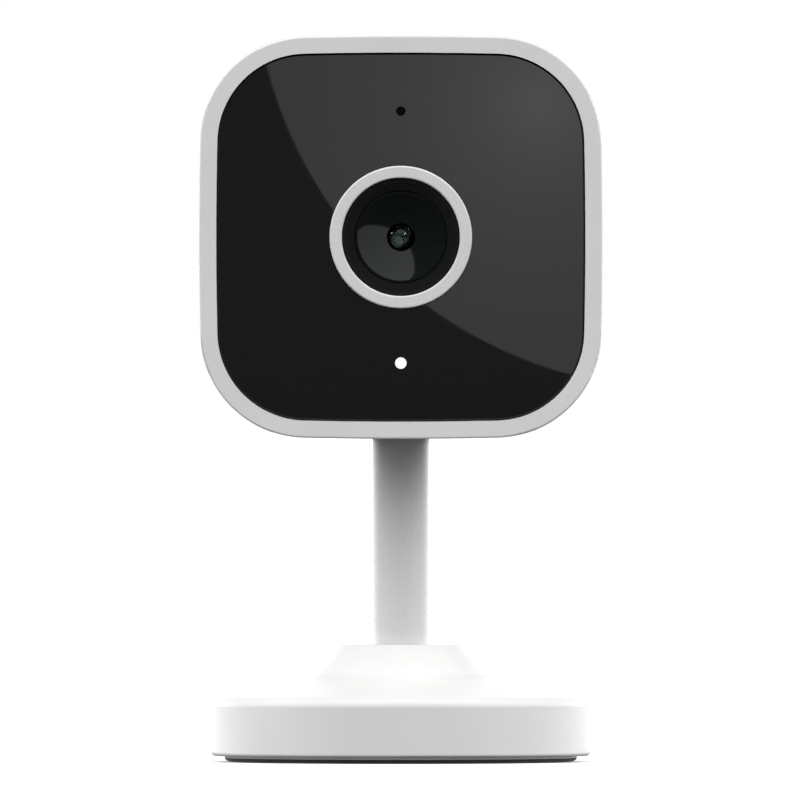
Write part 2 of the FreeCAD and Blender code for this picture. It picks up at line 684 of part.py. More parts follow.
def chassis():
    body = newBody("front_chassis", headFrame)
    plate = newSketch(body, "chassisOutline", "XZ_Plane", "-chassisFront")
    roundedSquare(plate, "chassisInset")
    circle(plate, barrelHole)
    slotHalf = "ribbonWidth / 2 + fitGap * 4"
    slotEdges = ("-ribbonAcross - ribbonThick - fitGap * 4", "-ribbonAcross + ribbonThick + fitGap * 4")
    outline(plate, [(slotEdges[0], "-(%s)" % slotHalf), (slotEdges[1], "-(%s)" % slotHalf),
                    (slotEdges[1], slotHalf), (slotEdges[0], slotHalf)])
    for across in ("-postOffset", "postOffset"):
        for up in ("-postOffset", "postOffset"):
            circle(plate, "screwRadius + fitGap", across, up)
    feature(body, "Pad", "chassisPlate", plate, "chassisThick", back=True)


def chassisScrews():
    screws = []
    for number, (side, level) in enumerate(((-1, -1), (1, -1), (1, 1), (-1, 1))):
        spot = ["%d * postOffset" % side, "chassisFront - screwHeadThick", "%d * postOffset" % level]
        head = rod("chassisHead%d" % number, headFrame, "screwHead", "screwHeadThick", spot, "back")
        spot[1] = "chassisFront"
        shank = rod("chassisShank%d" % number, headFrame, "screwRadius", "screwLength", spot, "back")
        screws.append(joined("chassisScrew%d" % number, [head, shank]))
    finished(group("chassisScrews", screws), "chassis_screws")


def boards():
    finished(block("sensorBoard", headFrame, "boardWidth", "boardThick", boardHeight,
                   ("0", sensorBoardFront, boardMiddle)), "sensor_board")
    finished(block("mainBoard", headFrame, "boardWidth", "boardThick", boardHeight,
                   ("0", mainBoardFront, boardMiddle)), "main_board")
    inner = "shieldWidth - 2 * shieldWall"
    can = block("shieldOuter", headFrame, "shieldWidth", "shieldThick", "shieldWidth",
                ("0", shieldFront, "0"))
    hollow = block("shieldInner", headFrame, inner, "shieldThick", inner,
                   ("0", shieldFront + " + shieldWall", "0"))
    finished(cut("shield", can, hollow), "shield_can")
    finished(block("processorChip", headFrame, "chipSize", "chipThick", "chipSize",
                   ("0", mainBoardFront + " - chipThick", "0")), "processor")
    finished(block("thermalSheet", headFrame, "padSize", "padThick", "padSize",
                   ("0", shieldFront + " - padThick", "0")), "thermal_pad")
    finished(block("spreaderPlate", headFrame, "spreaderWidth", "boardThick", "spreaderHeight",
                   ("0", spreaderFront, "0")), "heat_spreader")


def ribbons():
    finished(block("frontRibbon", headFrame, "ribbonThick", "%s - (%s)" % (sensorBoardFront, lampBoardBack),
                   "ribbonWidth", ("-ribbonAcross", lampBoardBack, "0")), "front_ribbon_cable")
    sensorBoardBack = "(%s + boardThick)" % sensorBoardFront
    finished(block("rearRibbon", headFrame, "ribbonWidth", "%s - %s" % (mainBoardFront, sensorBoardBack),
                   "ribbonThick", ("0", sensorBoardBack, "ribbonRise")), "rear_ribbon_cable")


def antenna():
    finished(block("antennaStrip", headFrame, "antennaWidth", "ribbonWidth", "ribbonThick",
                   ("0", sensorBoardFront + " - ribbonWidth / 2", "headSize / 2 - shellWall - antennaGap")),
             "wireless_antenna")


# ---- rear shell, with the slot that the post swings in ----

def slotProfile(sketch, radius, low, backEdge, rounding):
    # seen from the side: down the front wall, which leans forwards by tiltDown, round the hinge
    # axis and straight out at the back; a rounding follows the shell's lower back edge
    turn = math.radians(value("tiltDown"))
    pivot = FreeCAD.Vector(value("pivotDepth"), value(pivotUp), 0)
    size, floor, back = value(radius), value(low), value(backEdge)
    crown = pivot + FreeCAD.Vector(0, size, 0)
    flank = pivot + FreeCAD.Vector(-size * math.cos(turn), size * math.sin(turn), 0)
    toe = FreeCAD.Vector(flank.x - (flank.y - floor) * math.tan(turn), floor, 0)
    bend = value(rounding) if rounding else 0
    path = [Part.LineSegment(flank, toe), Part.LineSegment(toe, FreeCAD.Vector(back - bend, floor, 0))]
    if rounding:
        middle = FreeCAD.Vector(back - bend, floor + bend, 0)
        path.append(Part.ArcOfCircle(Part.Circle(middle, upAxis, bend), -math.pi / 2, 0))
    path.append(Part.LineSegment(FreeCAD.Vector(back, floor + bend, 0), FreeCAD.Vector(back, crown.y, 0)))
    path.append(Part.LineSegment(FreeCAD.Vector(back, crown.y, 0), crown))
    path.append(Part.ArcOfCircle(Part.Circle(pivot, upAxis, size), math.pi / 2, math.pi - turn))
    sketch.addGeometry(path, False)
    last = len(path) - 1
    constrain(sketch, "Tangent", last, 1, last - 1, 2)
    constrain(sketch, "Tangent", last, 2, 0, 1)
    constrain(sketch, "Coincident", 0, 2, 1, 1)
    constrain(sketch, "Coincident", last - 2, 2, last - 1, 1)
    constrain(sketch, "Horizontal", last - 1)
    constrain(sketch, "Horizontal", 1)
    constrain(sketch, "Vertical", last - 2)
    if rounding:
        constrain(sketch, "Tangent", 1, 2, 2, 1)
        constrain(sketch, "Tangent", 2, 2, 3, 1)
        drive(sketch, rounding, "Radius", 2)
    else:
        constrain(sketch, "Coincident", 1, 2, 2, 1)
    drive(sketch, radius, "Radius", last)
    locate(sketch, last, 3, "pivotDepth", pivotUp)
    drive(sketch, low, "DistanceY", -1, 1, 0, 2)
    drive(sketch, backEdge, "DistanceX", -1, 1, last - 2, 2)
    lean = "(%s + (%s) * sin(tiltDown * 1deg) - (%s)) * tan(tiltDown * 1deg)" % (pivotUp, radius, low)
    drive(sketch, "pivotDepth - (%s) * cos(tiltDown * 1deg) - %s" % (radius, lean), "DistanceX", -1, 1, 0, 2)


def rearHousing():
    body = newBody("rear_housing", headFrame)
    blank = newSketch(body, "shellOutline", "XZ_Plane", "-frameDepth")
    roundedSquare(blank)
    pad = feature(body, "Pad", "shellBlank", blank, "headDepth - frameDepth", back=True)
    pad = dress(body, "Fillet", "backEdge", pad, outerEdges(pad.Shape, value("headDepth")), "backRound")
    shell = body.newObject("PartDesign::Thickness", "shellWalls")
    mouth = [number for number, face in enumerate(pad.Shape.Faces, start=1)
             if abs(face.BoundBox.YMax - value("frameDepth")) < 1e-4]
    shell.Base = (pad, ["Face%d" % number for number in mouth])
    bind(shell, "Value", "shellWall")
    shell.Reversed = True
    doc.recompute()
    mouthEdges = outerEdges(shell.Shape, value("frameDepth"))
    dress(body, "Fillet", "mouthEdge", shell, mouthEdges, "seamRound")

    # the posts start inside the back wall, where the rounded edge still covers them
    postStart = "headDepth - 0.9 * shellWall"
    posts = newSketch(body, "postOutlines", "XZ_Plane", "-(%s)" % postStart)
    for across in ("-postOffset", "postOffset"):
        for up in ("-postOffset", "postOffset"):
            circle(posts, "postRadius", across, up)
    feature(body, "Pad", "screwPosts", posts, "%s - chassisFront - chassisThick" % postStart)
    holes = newSketch(body, "postHoles", "XZ_Plane", "-(chassisFront + chassisThick)")
    for across in ("-postOffset", "postOffset"):
        for up in ("-postOffset", "postOffset"):
            circle(holes, "screwRadius", across, up)
    feature(body, "Pocket", "screwHoles", holes, "screwLength")

    walls = newSketch(body, "slotWalls", "YZ_Plane")
    inside = "shellWall / 2"
    slotProfile(walls, slotHalfWidth + " + slotWall", inside + " - headSize / 2", "headDepth - " + inside,
                "backRound - " + inside)
    feature(body, "Pad", "slotBlock", walls, "2 * " + cheek, both=True)
    slot = newSketch(body, "slotOpening", "YZ_Plane")
    slotProfile(slot, slotHalfWidth, "-headSize / 2 - shellWall", "headDepth + shellWall", None)
    feature(body, "Pocket", "slot", slot, "2 * " + slotHalfWidth, both=True)
    pin = newSketch(body, "pinHole", "YZ_Plane")
    circle(pin, "hingePin", "pivotDepth", pivotUp)
    feature(body, "Pocket", "pinBore", pin, "2 * %s + 2 * slotWall" % cheek, both=True)

    backPlane = "-headDepth"
    grille = newSketch(body, "grilleOpening", "XZ_Plane", backPlane)
    circle(grille, "grilleRadius", "0", "speakerRise")
    circle(grille, "buttonRadius + buttonGap", "buttonAcross", "-socketDrop")
    feature(body, "Pocket", "backHoles", grille, "2 * shellWall", back=True)
    seat = newSketch(body, "grilleSeat", "XZ_Plane", "-(headDepth - shellWall)")
    circle(seat, "grilleRadius + grilleFlange + fitGap", "0", "speakerRise")
    feature(body, "Pocket", "grilleRecess", seat, "shellWall - grilleThick - fitGap * 2")
    mouthOutline = newSketch(body, "socketOpening", "XZ_Plane", backPlane)
    pill(mouthOutline, "socketWidth / 2 + socketGap", "socketHeight / 2 + socketGap", "-socketDrop")
    feature(body, "Pocket", "socketHole", mouthOutline, "2 * shellWall", back=True)


def pill(sketch, half, radius, up):
    # a slot with round ends, as wide as the socket
    shift = "%s - (%s)" % (half, radius)
    size, reach, rise = value(radius), value(shift), value(up)
    ends = [FreeCAD.Vector(side * reach, rise, 0) for side in (1, -1)]
    lift = FreeCAD.Vector(0, size, 0)
    first = sketch.addGeometry([
        Part.ArcOfCircle(Part.Circle(ends[0], upAxis, size), -math.pi / 2, math.pi / 2),
        Part.LineSegment(ends[0] + lift, ends[1] + lift),
        Part.ArcOfCircle(Part.Circle(ends[1], upAxis, size), math.pi / 2, 1.5 * math.pi),
        Part.LineSegment(ends[1] - lift, ends[0] - lift)], False)[0]
    for index in range(4):
        constrain(sketch, "Tangent", first + index, 2, first + (index + 1) % 4, 1)
    constrain(sketch, "Equal", first, first + 2)
    drive(sketch, radius, "Radius", first)
    locate(sketch, first, 3, shift, up)
    locate(sketch, first + 2, 3, "-(%s)" % shift, up)


def backFittings():
    speakerBack = "headDepth - shellWall - speakerGasket"
    finished(rod("speakerCan", headFrame, "speakerRadius", "speakerThick",
                 ("0", speakerBack + " - speakerThick", "speakerRise"), "back"), "speaker")
    finished(ring("speakerFoam", headFrame, "speakerRadius", "grilleRadius - grilleFlange", "speakerGasket",
                  ("0", speakerBack, "speakerRise"), "back"), "speaker_gasket")

    body = newBody("speaker_grille", headFrame)
    flange = newSketch(body, "grilleDisc", "XZ_Plane", "-(headDepth - shellWall)")
    circle(flange, "grilleRadius + grilleFlange", "0", "speakerRise")
    feature(body, "Pad", "grillePlate", flange, "shellWall - grilleThick - fitGap * 2", back=True)
    face = newSketch(body, "grilleFace", "XZ_Plane", "-(headDepth - grilleThick - fitGap * 2)")
    circle(face, "grilleRadius - fitGap", "0", "speakerRise")
    feature(body, "Pad", "grilleRaised", face, "grilleThick", back=True)
    holes = newSketch(body, "grilleHoles", "XZ_Plane", "-headDepth")
    circle(holes, "grilleHole", "0", "speakerRise")
    for loop in (1, 2, 3):
        for step in range(6 * loop):
            angle = 60 * step / loop
            circle(holes, "grilleHole", "%d * grillePitch * cos(%gdeg)" % (loop, angle),
                   "speakerRise + %d * grillePitch * sin(%gdeg)" % (loop, angle))
    feature(body, "Pocket", "grilleDrilling", holes, "2 * shellWall", back=True)


def powerSocket():
    body = newBody("power_socket", headFrame)
    mouth = "(headDepth - socketSet)"
    case = newSketch(body, "socketOutline", "XZ_Plane", "-" + mouth)
    pill(case, "socketWidth / 2", "socketHeight / 2", "-socketDrop")
    feature(body, "Pad", "socketCase", case, "%s - %s" % (mouth, mainBoardBack))
    hollow = newSketch(body, "socketHollow", "XZ_Plane", "-" + mouth)
    pill(hollow, "socketWidth / 2 - socketWall", "socketHeight / 2 - socketWall", "-socketDrop")
    feature(body, "Pocket", "socketCavity", hollow, "bladeSet + bladeLength")
    blade = newSketch(body, "socketBladeOutline", "XZ_Plane", "-(%s - bladeSet)" % mouth)
    pill(blade, "bladeWidth / 2", "bladeThick / 2", "-socketDrop")
    feature(body, "Pad", "socketBlade", blade, "bladeLength")


def setupButton():
    flangeBack = "headDepth - shellWall - fitGap"
    switchTop = mainBoardBack + " + switchThick"
    spot = ("buttonAcross", "-socketDrop")
    flangeFront = flangeBack + " - buttonFlangeThick"
    body = newBody("setup_button", headFrame)
    flange = newSketch(body, "buttonFlangeOutline", "XZ_Plane", "-(%s)" % flangeBack)
    circle(flange, "buttonRadius + buttonFlange", *spot)
    feature(body, "Pad", "buttonFlangeDisc", flange, "buttonFlangeThick")
    cap = newSketch(body, "buttonCapOutline", "XZ_Plane", "-(%s)" % flangeFront)
    circle(cap, "buttonRadius", *spot)
    raised = feature(body, "Pad", "buttonCap", cap, "headDepth + buttonProud - (%s)" % flangeFront, back=True)
    face = value("headDepth + buttonProud")
    dress(body, "Fillet", "buttonEdge", raised, outerEdges(raised.Shape, face), "ringRound")
    actuatorEnd = "%s - buttonTravel - fitGap" % flangeFront
    switchCase = block("switchCase", headFrame, "switchSize", "switchThick", "switchSize",
                       ("buttonAcross", mainBoardBack, "-socketDrop"))
    actuator = rod("switchActuator", headFrame, "actuatorRadius", "%s - (%s)" % (actuatorEnd, switchTop),
                   ("buttonAcross", switchTop, "-socketDrop"), "back")
    finished(joined("buttonSwitch", [switchCase, actuator]), "button_switch")


# ---- tilt hinge ----

def hinge():
    shankEnd = cheek + " + nutThick + slotGap"
    head = rod("hingeHeadDisc", baseFrame, "hingeHead", "hingeHeadThick",
               ("-%s - hingeHeadThick" % cheek, "0", pivotHeight), "right")
    shank = rod("hingeShank", baseFrame, "hingePin", "%s + %s" % (cheek, shankEnd),
                ("-" + cheek, "0", pivotHeight), "right")
    finished(joined("hingeBolt", [head, shank]), "hinge_screw")
    nut = doc.addObject("Part::Prism", "hingeNutBlank")
    nut.Polygon = 6
    bind(nut, "Circumradius", "nutRadius")
    bind(nut, "Height", "nutThick")
    place(nut, baseFrame, (cheek, "0", pivotHeight), "right")
    finished(cut("hingeNut", nut, rod("hingeNutBore", baseFrame, "hingePin", "nutThick",
                                      (cheek, "0", pivotHeight), "right")), "hinge_nut")
    left = ring("washerLeft", baseFrame, "washerRadius", "hingePin", "washerThick",
                ("-%s - washerThick - pinPlay" % knuckleHalf, "0", pivotHeight), "right")
    right = ring("washerRight", baseFrame, "washerRadius", "hingePin", "washerThick",
                 (knuckleHalf + " + pinPlay", "0", pivotHeight), "right")
    finished(group("frictionWashers", [left, right]), "friction_washers")


# ---- post ----

def post():
    topEnd = pivotHeight + " - postOuter - postTop"
    tube = ring("postTube", baseFrame, "postOuter", "postInner", topEnd + " - postFoot",
                ("0", "0", "postFoot"), "up")
    finished(tube, "post_tube")
    width = "2 * " + knuckleHalf
    eyeStart = ("-" + knuckleHalf, "0", pivotHeight)
    eye = rod("knuckleEye", baseFrame, "postOuter", width, eyeStart, "right")
    neck = rod("knuckleNeck", baseFrame, "postOuter", "postOuter + postTop", ("0", "0", topEnd), "up")
    slab = block("knuckleSlab", baseFrame, width, "2 * postOuter", "2 * postOuter",
                 ("0", "-postOuter", topEnd))
    spigot = rod("knuckleSpigot", baseFrame, "postInner", "spigot", ("0", "0", topEnd + " - spigot"), "up")
    solid = joined("knuckleSolid", [eye, common("knuckleFlats", neck, slab), spigot])
    bore = rod("knuckleBore", baseFrame, "hingePin + pinPlay", width, eyeStart, "right")
    finished(cut("knuckleDrilled", solid, bore), "post_knuckle")
    plugSpigot = rod("plugSpigot", baseFrame, "postInner", "spigot", ("0", "0", "postFoot"), "up")
    plugLow = ("0", "0", "postFoot - plugThick")
    plugDisc = rod("plugDisc", baseFrame, "plugFlange", "plugThick", plugLow, "up")
    plugHole = rod("plugHole", baseFrame, "screwRadius", "spigot", plugLow, "up")
    finished(cut("plugDrilled", joined("plugSolid", [plugSpigot, plugDisc]), plugHole), "post_plug")
    headDisc = rod("postScrewHead", baseFrame, "2 * screwHead", "screwHeadThick",
                   ("0", "0", "postFoot - plugThick - screwHeadThick"), "up")
    shank = rod("postScrewShank", baseFrame, "screwRadius", "screwLength", plugLow, "up")
    finished(joined("postScrewBolt", [headDisc, shank]), "post_screw")


# ---- base ----

bushFoot = "postFoot + springThick + fitGap"
bushTop = "bossRise - boreLip"


def bossSpots():
    count = int(value("bossCount"))
    for number in range(count):
        angle = 90 + 360 * number / count
        yield "bossPitch * cos(%gdeg)" % angle, "bossPitch * sin(%gdeg)" % angle


def baseCover():
    body = newBody("base_cover", baseFrame)
    profile = newSketch(body, "coverProfile", "XZ_Plane")
    slope = "(bossFootRise - wallTop) / (baseRadius - bossFoot)"
    innerEdge = "wallTop - baseWall + baseWall * %s" % slope
    bossCeiling = "bossRise - 1.5 * baseWall"
    outline(profile, [("postOuter + boreGap", "bossRise"), ("bossTop", "bossRise"),
                      ("bossFoot", "bossFootRise"), ("baseRadius", "wallTop"),
                      ("baseRadius", "footThick"), ("baseRadius - baseWall", "footThick"),
                      ("baseRadius - baseWall", innerEdge),
                      ("bossFoot - baseWall / 2", "bossFootRise - baseWall"),
                      ("bossTop - baseWall / 2", bossCeiling), (tubeOuter, bossCeiling),
                      (tubeOuter, bushFoot), (bushOuter, bushFoot),
                      (bushOuter, bushTop), ("postOuter + boreGap", bushTop)])
    turn = revolve(body, "coverTurned", profile, "V_Axis")
    for name, radius, rise, size in (("upperEdge", "baseRadius", "wallTop", "edgeRound"),
                                     ("bossHollow", "bossFoot", "bossFootRise", "bossBlend"),
                                     ("bossEdge", "bossTop", "bossRise", "bossRound"),
                                     ("lowerEdge", "baseRadius", "footThick", "lowRound")):
        turn = dress(body, "Fillet", name, turn, ringEdges(turn.Shape, value(radius), value(rise)), size)
    pegs = newSketch(body, "bossOutlines", "XY_Plane", plateTop)
    for across, along in bossSpots():
        circle(pegs, "bossRadius", across, along)
    # the bosses end inside the sloping wall above them
    slopeThere = "%s + (baseRadius - baseWall - bossPitch) * %s" % (innerEdge, slope)
    feature(body, "Pad", "screwBosses", pegs, "%s + baseWall / 2 - %s" % (slopeThere, plateTop))
    holes = newSketch(body, "bossHoles", "XY_Plane", plateTop)
    for across, along in bossSpots():
        circle(holes, "baseScrew", across, along)
    feature(body, "Pocket", "bossDrilling", holes, "baseScrewLength", back=True)


def basePlate():
    body = newBody("base_plate", baseFrame)
    disc = newSketch(body, "plateOutline", "XY_Plane", "footThick")
    circle(disc, "baseRadius - baseWall - fitGap")
    feature(body, "Pad", "plateDisc", disc, "plateThick")
    sinks = newSketch(body, "plateSinks", "XY_Plane", "footThick")
    drills = newSketch(body, "plateHoles", "XY_Plane", "footThick")
    for across, along in bossSpots():
        circle(sinks, "baseScrewHead + fitGap", across, along)
        circle(drills, "baseScrew + fitGap", across, along)
    feature(body, "Pocket", "sunkHeads", sinks, "plateThick / 2", back=True)
    feature(body, "Pocket", "plateDrilling", drills, "plateThick", back=True)


def baseWeight():
    body = newBody("base_weight", baseFrame)
    disc = newSketch(body, "weightOutline", "XY_Plane", plateTop)
    circle(disc, "baseRadius - baseWall - weightGap")
    circle(disc, tubeOuter + " + 2 * weightGap")
    for across, along in bossSpots():
        circle(disc, "bossRadius + weightGap", across, along)
    feature(body, "Pad", "weightDisc", disc, "weightThick")


def footAndScrews():
    finished(rod("footDisc", baseFrame, "baseRadius - footInset", "footThick", baseFrame, "up"), "foot_pad")
    screws = []
    for number, (across, along) in enumerate(bossSpots()):
        head = rod("baseHead%d" % number, baseFrame, "baseScrewHead", "plateThick / 2",
                   (across, along, "footThick"), "up")
        shank = rod("baseShank%d" % number, baseFrame, "baseScrew", "baseScrewLength",
                    (across, along, "footThick + plateThick / 2"), "up")
        screws.append(joined("baseScrew%d" % number, [head, shank]))
    finished(group("baseScrews", screws), "base_screws")


def swivel():
    sleeve = "%s - (%s)" % (bushTop, bushFoot)
    finished(ring("swivelSleeve", baseFrame, bushOuter, "postOuter + swivelPlay", sleeve,
                  ("0", "0", bushFoot), "up"), "swivel_bush")
    finished(ring("swivelWasher", baseFrame, tubeOuter, "postOuter + boreGap", "springThick",
                  ("0", "0", "postFoot + fitGap / 2"), "up"), "swivel_spring_washer")


frontFrame()
frontWindow()
windowGasket()
lensRing()
lensHood()
lensBarrel()
lensSpacers()
lensElements()
lensHolder()
frontBoard()
microphone()
statusLamp()
chassis()
chassisScrews()
boards()
ribbons()
antenna()
rearHousing()
backFittings()
powerSocket()
setupButton()
hinge()
post()
baseCover()
basePlate()
baseWeight()
footAndScrews()
swivel()
doc.recompute()

for item in doc.Objects:
    if "Invalid" in item.State or "Error" in item.State:
        raise RuntimeError("%s did not build: %s" % (item.Name, item.getStatusString()))
for piece in pieces:
    if piece.Shape.isNull() or not piece.Shape.isValid() or not piece.Shape.Solids:
        raise RuntimeError("%s has no good shape" % piece.Label)

os.makedirs("parts", exist_ok=True)
for piece in pieces:
    piece.Shape.exportStep("parts/%s.step" % piece.Label)
print(len(pieces), "pieces")
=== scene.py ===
import math
import bmesh
import bpy
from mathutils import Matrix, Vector


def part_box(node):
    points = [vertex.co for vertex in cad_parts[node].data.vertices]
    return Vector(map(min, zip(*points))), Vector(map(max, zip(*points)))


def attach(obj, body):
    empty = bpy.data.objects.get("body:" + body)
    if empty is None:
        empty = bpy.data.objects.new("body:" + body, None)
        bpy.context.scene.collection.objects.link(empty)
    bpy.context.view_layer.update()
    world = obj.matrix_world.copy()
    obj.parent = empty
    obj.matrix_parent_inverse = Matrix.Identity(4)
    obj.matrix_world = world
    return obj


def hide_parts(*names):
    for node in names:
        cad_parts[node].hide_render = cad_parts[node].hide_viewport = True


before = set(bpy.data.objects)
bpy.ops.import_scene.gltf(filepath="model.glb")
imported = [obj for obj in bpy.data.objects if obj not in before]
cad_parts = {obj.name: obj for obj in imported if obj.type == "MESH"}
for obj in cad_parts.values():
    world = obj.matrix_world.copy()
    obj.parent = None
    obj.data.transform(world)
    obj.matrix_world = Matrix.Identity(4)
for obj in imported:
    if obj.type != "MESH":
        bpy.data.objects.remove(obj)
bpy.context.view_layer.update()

mm = 0.001


def linear(hexCode):
    # an sRGB hex colour as the linear colour that shaders work in
    parts = [int(hexCode[i:i + 2], 16) / 255 for i in (1, 3, 5)]
    return [c / 12.92 if c <= 0.04045 else ((c + 0.055) / 1.055) ** 2.4 for c in parts] + [1.0]


def addNode(tree, kind, inputs=None, out=None, stops=(), **settings):
    # a node with its settings, with a value or a link for each named input, and the colours of its
    # ramp; gives the node, or one of its outputs
    node = tree.nodes.new(kind)
    for key, setting in settings.items():
        setattr(node, key, setting)
    for key, feed in (inputs or {}).items():
        if isinstance(feed, bpy.types.NodeSocket):
            tree.links.new(feed, node.inputs[key])
        else:
            node.inputs[key].default_value = feed
    for index, (position, colour) in enumerate(stops):
        stop = node.color_ramp.elements[index] if index < 2 else node.color_ramp.elements.new(position)
        stop.position = position
        stop.color = linear(colour) if isinstance(colour, str) else colour
    return node if out is None else node.outputs[out]


def newMaterial(name):
    material = bpy.data.materials.new(name)
    material.use_nodes = True
    material.node_tree.nodes.clear()
    return material, material.node_tree


def grained(name, dark, light, rough, grain, depth, patch=12.0, **constants):
    # a surface with a fine grain: two close colours in soft patches, the gloss broken up by the
    # grain, and the grain itself as relief; grain, depth and patch are sizes in mm
    material, tree = newMaterial(name)
    place = addNode(tree, "ShaderNodeTexCoord").outputs["Object"]
    fine = addNode(tree, "ShaderNodeTexNoise", {"Vector": place, "Scale": 1 / (grain * mm), "Detail": 3.0})
    broad = addNode(tree, "ShaderNodeTexNoise", {"Vector": place, "Scale": 1 / (patch * mm), "Detail": 2.0})
    colour = addNode(tree, "ShaderNodeValToRGB", {"Fac": broad.outputs["Fac"]}, out="Color",
                     stops=[(0.3, dark), (0.7, light)])
    gloss = addNode(tree, "ShaderNodeMapRange", {"Value": fine.outputs["Fac"], "From Min": 0.3,
                    "From Max": 0.7, "To Min": rough[0], "To Max": rough[1]})
    relief = addNode(tree, "ShaderNodeBump", {"Height": fine.outputs["Fac"], "Strength": 0.6,
                     "Distance": depth * mm})
    shader = addNode(tree, "ShaderNodeBsdfPrincipled", {"Base Color": colour,
                     "Normal": relief.outputs["Normal"],
                     "Roughness": gloss.outputs["Result"], **constants})
    addNode(tree, "ShaderNodeOutputMaterial", {"Surface": shader.outputs["BSDF"]})
    return material


# finishes of the shells

# moulded ABS with a fine spark-eroded grain: an even soft white with a broad, dull highlight;
# the real grain of 0.05 mm is drawn at 0.35 mm so that it shows
whiteShell = grained("whiteShellAbs", "#E6E6E5", "#EBEBEA", (0.36, 0.48), 0.35, 0.004, IOR=1.54)

# the same ABS from a polished mould: the ring and the button are smoother to the eye
polishedAbs = grained("polishedAbs", "#E7E7E6", "#EAEAE9", (0.22, 0.3), 0.8, 0.001, IOR=1.54)

# powder-coated steel tube: an even satin white with a fine grain, a little greyer than the ABS; the grey is
# painted shade for the head's shadow falling on the post
shadedPostCoat = grained("postCoatWithPaintedShade", "#D2D3D3", "#D5D6D6", (0.27, 0.29), 0.4, 0.002, IOR=1.5)

# silicone rubber, dull: the lip under the cover is pale grey; the tread that rolls under and grips is near
# black, which is painted shade for the contact shadow where the foot meets the floor
footRubber = grained("footRubber", "#C4C5C7", "#CBCCCD", (0.62, 0.8), 0.3, 0.01, IOR=1.42)
treadRubberPaintedShade = grained("treadRubberPaintedShade", "#2A2B2C", "#323334", (0.7, 0.85), 0.3, 0.02, IOR=1.42)


def acrylicWindow():
    # cast acrylic with a black back print: looks like deep black water, a mirror with only a
    # trace of waviness, 18 mm long, and a little haze left by wiping
    material, tree = newMaterial("blackAcrylicWindow")
    place = addNode(tree, "ShaderNodeTexCoord").outputs["Object"]
    wave = addNode(tree, "ShaderNodeTexNoise", {"Vector": place, "Scale": 1 / (18 * mm), "Detail": 0.0})
    haze = addNode(tree, "ShaderNodeTexNoise", {"Vector": place, "Scale": 1 / (7 * mm), "Detail": 4.0})
    gloss = addNode(tree, "ShaderNodeMapRange", {"Value": haze.outputs["Fac"], "From Min": 0.35,
                    "From Max": 0.75, "To Min": 0.012, "To Max": 0.03})
    relief = addNode(tree, "ShaderNodeBump", {"Height": wave.outputs["Fac"], "Strength": 0.15,
                     "Distance": 0.02 * mm})
    colour = addNode(tree, "ShaderNodeValToRGB", {"Fac": haze.outputs["Fac"]}, out="Color",
                     stops=[(0.3, "#030404"), (0.8, "#050606")])
    shader = addNode(tree, "ShaderNodeBsdfPrincipled", {"Base Color": colour,
                     "Roughness": gloss.outputs["Result"],
                     "Normal": relief.outputs["Normal"], "IOR": 1.49})
    addNode(tree, "ShaderNodeOutputMaterial", {"Surface": shader.outputs["BSDF"]})
    return material


# finishes of the lens

# glass-filled nylon, matt from the mould: dead black, its grain only seen close up
mattNylon = grained("mattBlackNylon", "#08090A", "#0D0E0F", (0.6, 0.75), 0.18, 0.006, IOR=1.53)

# the hood's flocked front: the same nylon with an anti-glare spray that drinks light
antiGlare = grained("antiGlareSpray", "#181919", "#1D1E1E", (0.7, 0.85), 0.12, 0.01, IOR=1.45,
                    **{"Specular IOR Level": 0.12})


def dishLacquer():
    # black lacquer under an anti-reflection coat: a dark mirror with a faint green-blue cast
    material, tree = newMaterial("lensDishLacquer")
    place = addNode(tree, "ShaderNodeTexCoord").outputs["Object"]
    dust = addNode(tree, "ShaderNodeTexNoise", {"Vector": place, "Scale": 1 / (0.9 * mm), "Detail": 3.0})
    gloss = addNode(tree, "ShaderNodeMapRange", {"Value": dust.outputs["Fac"], "From Min": 0.3,
                    "From Max": 0.8, "To Min": 0.03, "To Max": 0.06})
    colour = addNode(tree, "ShaderNodeValToRGB", {"Fac": dust.outputs["Fac"]}, out="Color",
                     stops=[(0.3, "#151818"), (0.8, "#191D1C")])
    shader = addNode(tree, "ShaderNodeBsdfPrincipled", {"Base Color": colour,
                     "Roughness": gloss.outputs["Result"],
                     "IOR": 1.5})
    addNode(tree, "ShaderNodeOutputMaterial", {"Surface": shader.outputs["BSDF"]})
    return material


def coatedGlass(name, tint, cast, amount):
    # optical crown glass with a coating: clear, with a coloured cast where it reflects
    material, tree = newMaterial(name)
    place = addNode(tree, "ShaderNodeTexCoord").outputs["Object"]
    polish = addNode(tree, "ShaderNodeTexNoise", {"Vector": place, "Scale": 1 / (1.5 * mm), "Detail": 2.0})
    gloss = addNode(tree, "ShaderNodeMapRange", {"Value": polish.outputs["Fac"], "From Min": 0.3,
                    "From Max": 0.8, "To Min": 0.0, "To Max": 0.02})
    colour = addNode(tree, "ShaderNodeValToRGB", {"Fac": polish.outputs["Fac"]}, out="Color",
                     stops=[(0.2, tint), (0.8, tint)])
    shader = addNode(tree, "ShaderNodeBsdfPrincipled", {"Base Color": colour,
                     "Roughness": gloss.outputs["Result"],
                     "IOR": 1.52, "Transmission Weight": amount, "Specular Tint": linear(cast)})
    addNode(tree, "ShaderNodeOutputMaterial", {"Surface": shader.outputs["BSDF"]})
    return material


